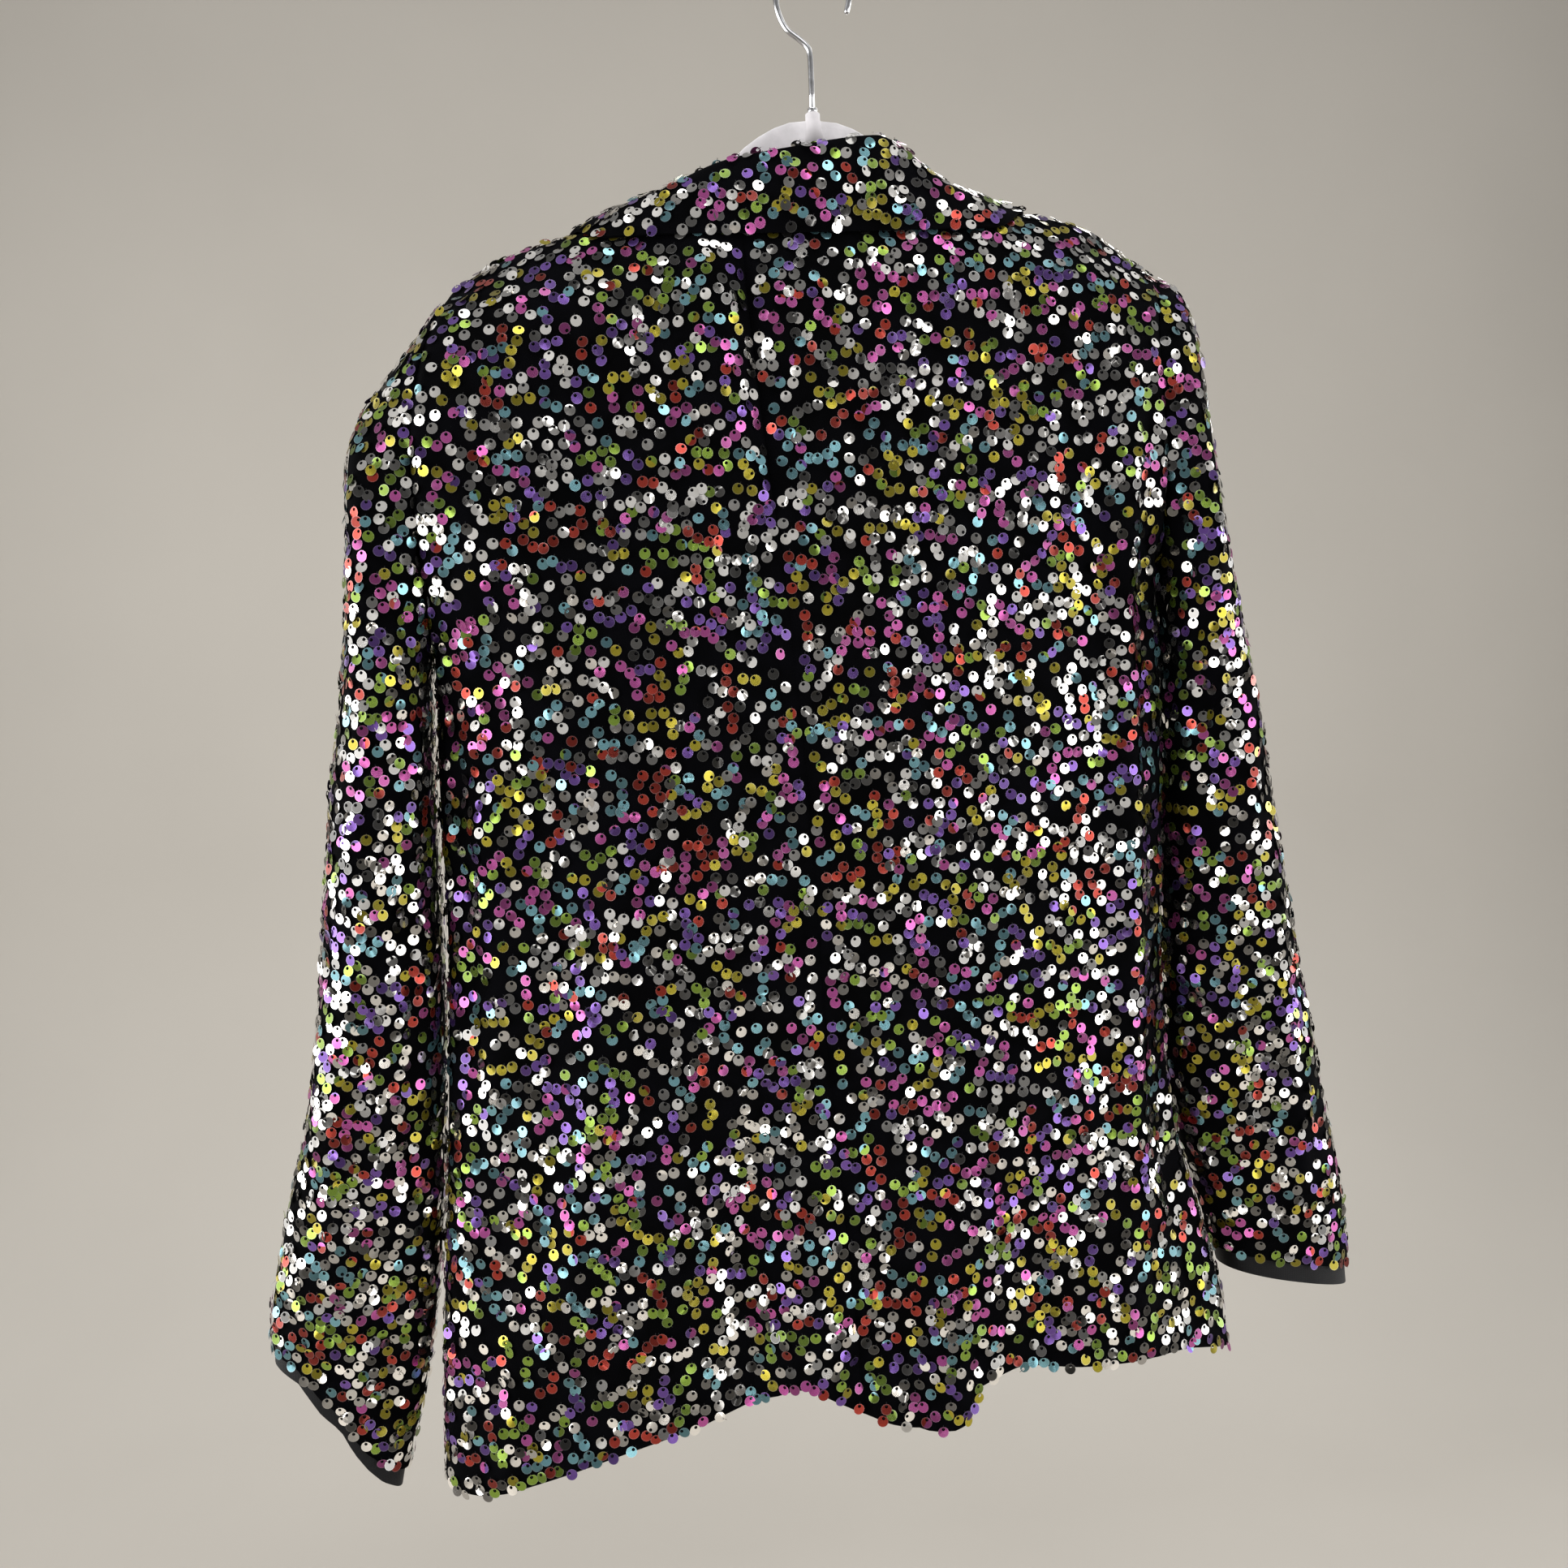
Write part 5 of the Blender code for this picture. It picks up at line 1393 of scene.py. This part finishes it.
def hang_paper():
    """Pale floor that rolls up into a backdrop, with a wide soft bend."""
    clear_selection()
    bpy.ops.mesh.primitive_plane_add(size=1, location=(0, 0, 0))
    made = bpy.context.object
    for vertex in made.data.vertices:
        vertex.co.x *= PAPER_WIDE
        vertex.co.y = PAPER_FRONT if vertex.co.y < 0 else PAPER_BACK
        vertex.co.z = -PAPER_DOWN
        vertex.select = vertex.co.y > 0
    for part in (*made.data.edges, *made.data.polygons):
        part.select = False
    bpy.ops.object.mode_set(mode="EDIT")
    bpy.ops.mesh.select_mode(type="VERT")
    bpy.ops.mesh.select_mode(type="EDGE")
    bpy.ops.mesh.extrude_region_move(TRANSFORM_OT_translate={"value": (0, 0, PAPER_HIGH)})
    bpy.ops.object.mode_set(mode="OBJECT")
    round_edges(made, PAPER_BEND, PAPER_BEND_STEPS)
    settle(made, "paper", "paper", SHARP_ABOVE_BENT)


def finished(outer, normals):
    """Normals of a creased sheet, turned the way that its smooth ones point."""
    fine = grid_normals(outer)
    return fine * np.sign((fine * normals).sum())


def collar_grid():
    """Outer surface of the collar: up its stand, over the roll and down the fall."""
    seam, roll, edge = (resample(line, COLLAR_STATIONS) for line in collar_lines())
    out = unit((edge - roll) * (1, 1, 0) + (roll - seam) * (0, 1, 0))
    across = unit(np.cross(np.gradient(roll, axis=0), edge - roll))
    across *= np.sign(np.sum(across * (0, 0, 1), axis=1, keepdims=True))
    inside = roll - out * ROLL_HALF + (seam - roll) * STAND_SHARE
    outside = roll + out * ROLL_HALF + (edge - roll) * FALL_SHARE
    rows = [seam, (seam + inside) / 2, inside, roll, outside]
    for i in range(1, FALL_ROWS + 1):
        v = i / FALL_ROWS
        # 4v(1 - v) is an arch of height 1, so the fall bulges most in its middle
        bulge = across * FALL_BULGE * 4 * v * (1 - v)
        rows.append(clear_of_torso(outside + (edge - outside) * v + bulge, FALL_LIFT))
    middle = np.array(rows)
    normals = grid_normals(middle)
    normals *= np.sign(np.sum(normals[-2] * across, axis=1).mean())
    return middle + normals * CLOTH / 2, normals


def lapel_grid(side):
    """Outer surface of a turned-back lapel, lying on its front."""
    t, s = np.meshgrid(
        np.linspace(0.0, 1.0, LAPEL_ROWS + 1), np.linspace(0.0, 1.0, LAPEL_COLUMNS + 1), indexing="ij"
    )
    wide = LAPEL_WIDE * (1 - t**LAPEL_BEND)
    down = LAPEL_TOP + (LAPEL_FOOT - LAPEL_TOP) * t + (LAPEL_RISE * (1 - t) ** 3) * s
    x = inner_edge(side, FRONT, down) + side * (GAP + (wide + LAPEL_SPARE) * s)
    grid = on_panel(side, FRONT, x, down, LAPEL_LIFT)
    normals = grid_normals(grid)
    return grid, normals * np.sign(normals[..., 1].mean())


def band_grid(side):
    """Outer surface of the plain band inside a cuff."""
    grid = sleeve_grid(side)
    normals = sleeve_normals(side, grid)
    run = grid[-1] - grid[-2]
    length = np.linalg.norm(run, axis=1, keepdims=True)
    rows = []
    row_normals = []
    for reach in (-BAND_HIDDEN, -BAND_HIDDEN / 2, 0.0, BAND_SHOWN[side] / 2, BAND_SHOWN[side]):
        share = 1 + reach / length
        normal = unit(normals[-2] + (normals[-1] - normals[-2]) * np.minimum(share, 1.0))
        rows.append(grid[-2] + run * share - normal * (CLOTH + GAP))
        row_normals.append(normal)
    return np.array(rows), np.array(row_normals)


def drop_hem(grid, table):
    """Lets a bottom border hang unevenly, less and less up the cloth."""
    near = np.clip(1 - border_distances(grid)["bottom"] / DROP_REACH, 0.0, 1.0)
    dropped = grid.copy()
    dropped[..., 2] -= near**2 * np.interp(grid[..., 0], column(table, "x"), column(table, "drop"))
    return dropped


def make_sheet(context, name, outer, normals):
    """Builds one cloth piece and keeps its surface for the sequins."""
    seams, margins = BORDERS[name.split("_")[0]]
    hem = margins["bottom"] < 0
    creased = crease(outer, normals, seams, hem, sizes_of(context).crease_scale)
    made = shell("cloth_" + name, creased, normals, FINISHES["ground"])
    dress(made, "sequin_cloth", name)
    SEWN[name] = (made, creased, finished(creased, normals), margins)


def uncovered(name, place):
    """Which places on a cloth piece lie clear of what covers it."""
    clear = np.ones(len(place), bool)
    if not name.startswith(tuple(FACES)):
        return clear
    for covering in ("collar", "lapel_left", "lapel_right"):
        # Every second point of the covering piece lies close enough to the next
        cover = SEWN[covering][1][::2, ::2].reshape(-1, 3)
        low, high = cover.min(axis=0) - COVER_NEAR, cover.max(axis=0) + COVER_NEAR
        near = np.flatnonzero(np.all((place > low) & (place < high), axis=1))
        for start in range(0, len(near), COMPARED_AT_ONCE):
            some = near[start : start + COMPARED_AT_ONCE]
            apart = np.linalg.norm(place[some, None] - cover[None], axis=-1).min(axis=1)
            clear[some] &= apart > COVER_NEAR
    x, down = place[:, 0], -place[:, 2]
    if name == "front_left":
        clear &= ~((x > inner_edge(RIGHT, FRONT, down) - LAP_CLEAR) & (down > LAPEL_FOOT))
    elif name == "front_right":
        middle = sum(np.array(corner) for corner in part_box("button")) / 2
        clear &= np.hypot(x - middle[0], place[:, 2] - middle[2]) > BUTTON_CLEAR
    return clear


class BlazerSizes(bpy.types.PropertyGroup):
    """Sizes that a user of the blazer may change."""

    sequin_diameter: bpy.props.FloatProperty(
        name="Sequin", description="Width of one sequin", default=0.0068, min=0.003, unit="LENGTH"
    )
    sequin_hole: bpy.props.FloatProperty(
        name="Hole", description="Width of the hole in a sequin", default=0.0021, min=0.0004, unit="LENGTH"
    )
    sequins_per_cm2: bpy.props.FloatProperty(
        name="Density", description="Sequins on a square centimetre", default=1.54, min=0.1, max=3.0
    )
    crease_scale: bpy.props.FloatProperty(
        name="Creases", description="Height of the small creases, as a share", default=1.0, min=0.0, max=2.0
    )
    lamp_power: bpy.props.FloatProperty(
        name="Lamps", description="Power that each lamp has a share of", default=70.0, min=0.0, unit="POWER"
    )


def colour_property(label, told, code):
    return bpy.props.FloatVectorProperty(
        name=label, description=told, default=linear(code), min=0.0, max=1.0, size=3, subtype="COLOR"
    )


class BlazerColours(bpy.types.PropertyGroup):
    """Colours that a user of the blazer may change."""

    cloth: colour_property("Cloth", "Pile of the black cloth under the sequins", "040406")
    facing: colour_property("Facing", "Plain band inside each cuff", "0d0d10")
    thread: colour_property("Thread", "Thread that holds each sequin", "16161a")
    silver: colour_property("Silver", "Clear metallised sequins", "faf6f0")
    violet: colour_property("Violet", "Violet sequins", "6d4d97")
    pink: colour_property("Pink", "Pink sequins", "b25394")
    red: colour_property("Red", "Orange-red sequins", "9a3428")
    yellow: colour_property("Yellow", "Yellow sequins", "a6992e")
    green: colour_property("Green", "Green sequins", "7c9638")
    blue: colour_property("Blue", "Turquoise sequins", "73a2ab")
    button: colour_property("Button", "Moulded button", "16151a")
    hanger: colour_property("Hanger", "Flock on the hanger", "cfcbcd")
    hook: colour_property("Hook", "Plating of the hook", "d2d2d4")
    paper: colour_property("Paper", "Studio paper behind the blazer", "b0aba3")


class BLAZER_OT_finishes(bpy.types.Operator):
    """Make the finishes of cloth, film, thread, flock, wire, button and paper"""

    bl_idname = "blazer.finishes"
    bl_label = "Finishes"

    def execute(self, context):
        make_finishes(context)
        return {"FINISHED"}


class BLAZER_OT_stage(bpy.types.Operator):
    """Set the camera, the soft studio lamps and the pale paper behind"""

    bl_idname = "blazer.stage"
    bl_label = "Stage"

    def execute(self, context):
        clear_selection()
        place_camera(context)
        place_lamps(context)
        light_room(context)
        hang_paper()
        return {"FINISHED"}


class BLAZER_OT_panels(bpy.types.Operator):
    """Cut the two backs and the two fronts"""

    bl_idname = "blazer.panels"
    bl_label = "Backs and Fronts"

    def execute(self, context):
        for word, side in SIDES.items():
            for start, face in FACES.items():
                grid = panel_grid(side, face)
                outer, normals = refined(grid, panel_normals(side, face, grid), FINE_PANEL)
                if face == BACK:
                    outer = drop_hem(outer, BACK_DROP)
                make_sheet(context, f"{start}_{word}", outer, normals)
        return {"FINISHED"}


class BLAZER_OT_sleeves(bpy.types.Operator):
    """Cut the top and under halves of both sleeves"""

    bl_idname = "blazer.sleeves"
    bl_label = "Sleeves"

    def execute(self, context):
        for word, side in SIDES.items():
            grid = sleeve_grid(side)
            around = grid.shape[1] * FINE_SLEEVE[1]
            outer, normals = refined(grid, sleeve_normals(side, grid), FINE_SLEEVE, refine_ring)
            outer = drop_hem(outer, CUFF_DROP)
            first, last = (k * FINE_SLEEVE[1] for k in UNDER_SLEEVE)
            for start, k in (("under", range(first, last + 1)), ("top", range(last, around + first + 1))):
                columns = np.array(k) % around
                make_sheet(context, f"sleeve_{start}_{word}", outer[:, columns], normals[:, columns])
        return {"FINISHED"}


class BLAZER_OT_collar(bpy.types.Operator):
    """Cut the turned-down collar and the two lapels"""

    bl_idname = "blazer.collar"
    bl_label = "Collar and Lapels"

    def execute(self, context):
        make_sheet(context, "collar", *refined(*collar_grid(), FINE_COLLAR))
        for word, side in SIDES.items():
            make_sheet(context, "lapel_" + word, *refined(*lapel_grid(side), FINE_LAPEL))
        return {"FINISHED"}


class BLAZER_OT_bands(bpy.types.Operator):
    """Cut the plain bands that show below the cuffs"""

    bl_idname = "blazer.bands"
    bl_label = "Cuff Bands"

    def execute(self, context):
        for word, side in SIDES.items():
            outer, normals = refined(*band_grid(side), FINE_BAND, refine_ring)
            name = "cuff_band_" + word
            outer = drop_hem(outer, CUFF_DROP)
            made = shell("cloth_" + name, outer, normals, FINISHES["facing"], ring=True)
            dress(made, "band_cloth", name)
        return {"FINISHED"}


class BLAZER_OT_sequins(bpy.types.Operator):
    """Sew the sequins on each piece of the cloth"""

    bl_idname = "blazer.sequins"
    bl_label = "Sequins"

    def execute(self, context):
        sizes = sizes_of(context)
        pattern = sequin_pattern(sizes)
        for seed, (name, sewn) in enumerate(SEWN.items()):
            made = sew_sequins(name, seed, sizes, pattern)
            dress(made, "sequin_cloth")
        return {"FINISHED"}


class BLAZER_OT_hanger(bpy.types.Operator):
    """Finish the flocked hanger and its plated hook"""

    bl_idname = "blazer.hanger"
    bl_label = "Hanger"

    def execute(self, context):
        body = merged_copy("hanger_body", "flocked_hanger", "flock", SHARP_ABOVE)
        dress(body, "flock", "hanger_body")
        hook = merged_copy("hanger_hook", "wire_hook", "wire", SHARP_ABOVE_BENT)
        dress(hook, "wire", "hanger_hook")
        dress(turn_ferrule(), "wire")
        return {"FINISHED"}


class BLAZER_OT_button(bpy.types.Operator):
    """Turn the button and sew it on"""

    bl_idname = "blazer.button"
    bl_label = "Button"

    def execute(self, context):
        dress(turn_button(), "button", "button")
        return {"FINISHED"}


STEPS = ("finishes", "stage", "hanger", "panels", "sleeves", "collar", "bands", "sequins", "button")


class BLAZER_PT_steps(bpy.types.Panel):
    """Lists the steps that make the blazer"""

    bl_idname = "BLAZER_PT_steps"
    bl_label = "Sequin Blazer"
    bl_space_type = "VIEW_3D"
    bl_region_type = "UI"
    bl_category = "Blazer"

    def draw(self, context):
        scene = context.scene
        for group, kind in ((scene.blazer_sizes, BlazerSizes), (scene.blazer_colours, BlazerColours)):
            for name in kind.__annotations__:
                self.layout.prop(group, name)
        for step in STEPS:
            self.layout.operator("blazer." + step)


CLASSES = (
    BlazerSizes,
    BlazerColours,
    BLAZER_OT_finishes,
    BLAZER_OT_stage,
    BLAZER_OT_hanger,
    BLAZER_OT_panels,
    BLAZER_OT_sleeves,
    BLAZER_OT_collar,
    BLAZER_OT_bands,
    BLAZER_OT_sequins,
    BLAZER_OT_button,
    BLAZER_PT_steps,
)


def register():
    for item in CLASSES:
        bpy.utils.register_class(item)
    bpy.types.Scene.blazer_sizes = bpy.props.PointerProperty(type=BlazerSizes)
    bpy.types.Scene.blazer_colours = bpy.props.PointerProperty(type=BlazerColours)


def unregister():
    del bpy.types.Scene.blazer_sizes
    del bpy.types.Scene.blazer_colours
    for item in reversed(CLASSES):
        bpy.utils.unregister_class(item)


def main():
    register()
    for step in STEPS:
        getattr(bpy.ops.blazer, step)()


if __name__ == "__main__":
    main()
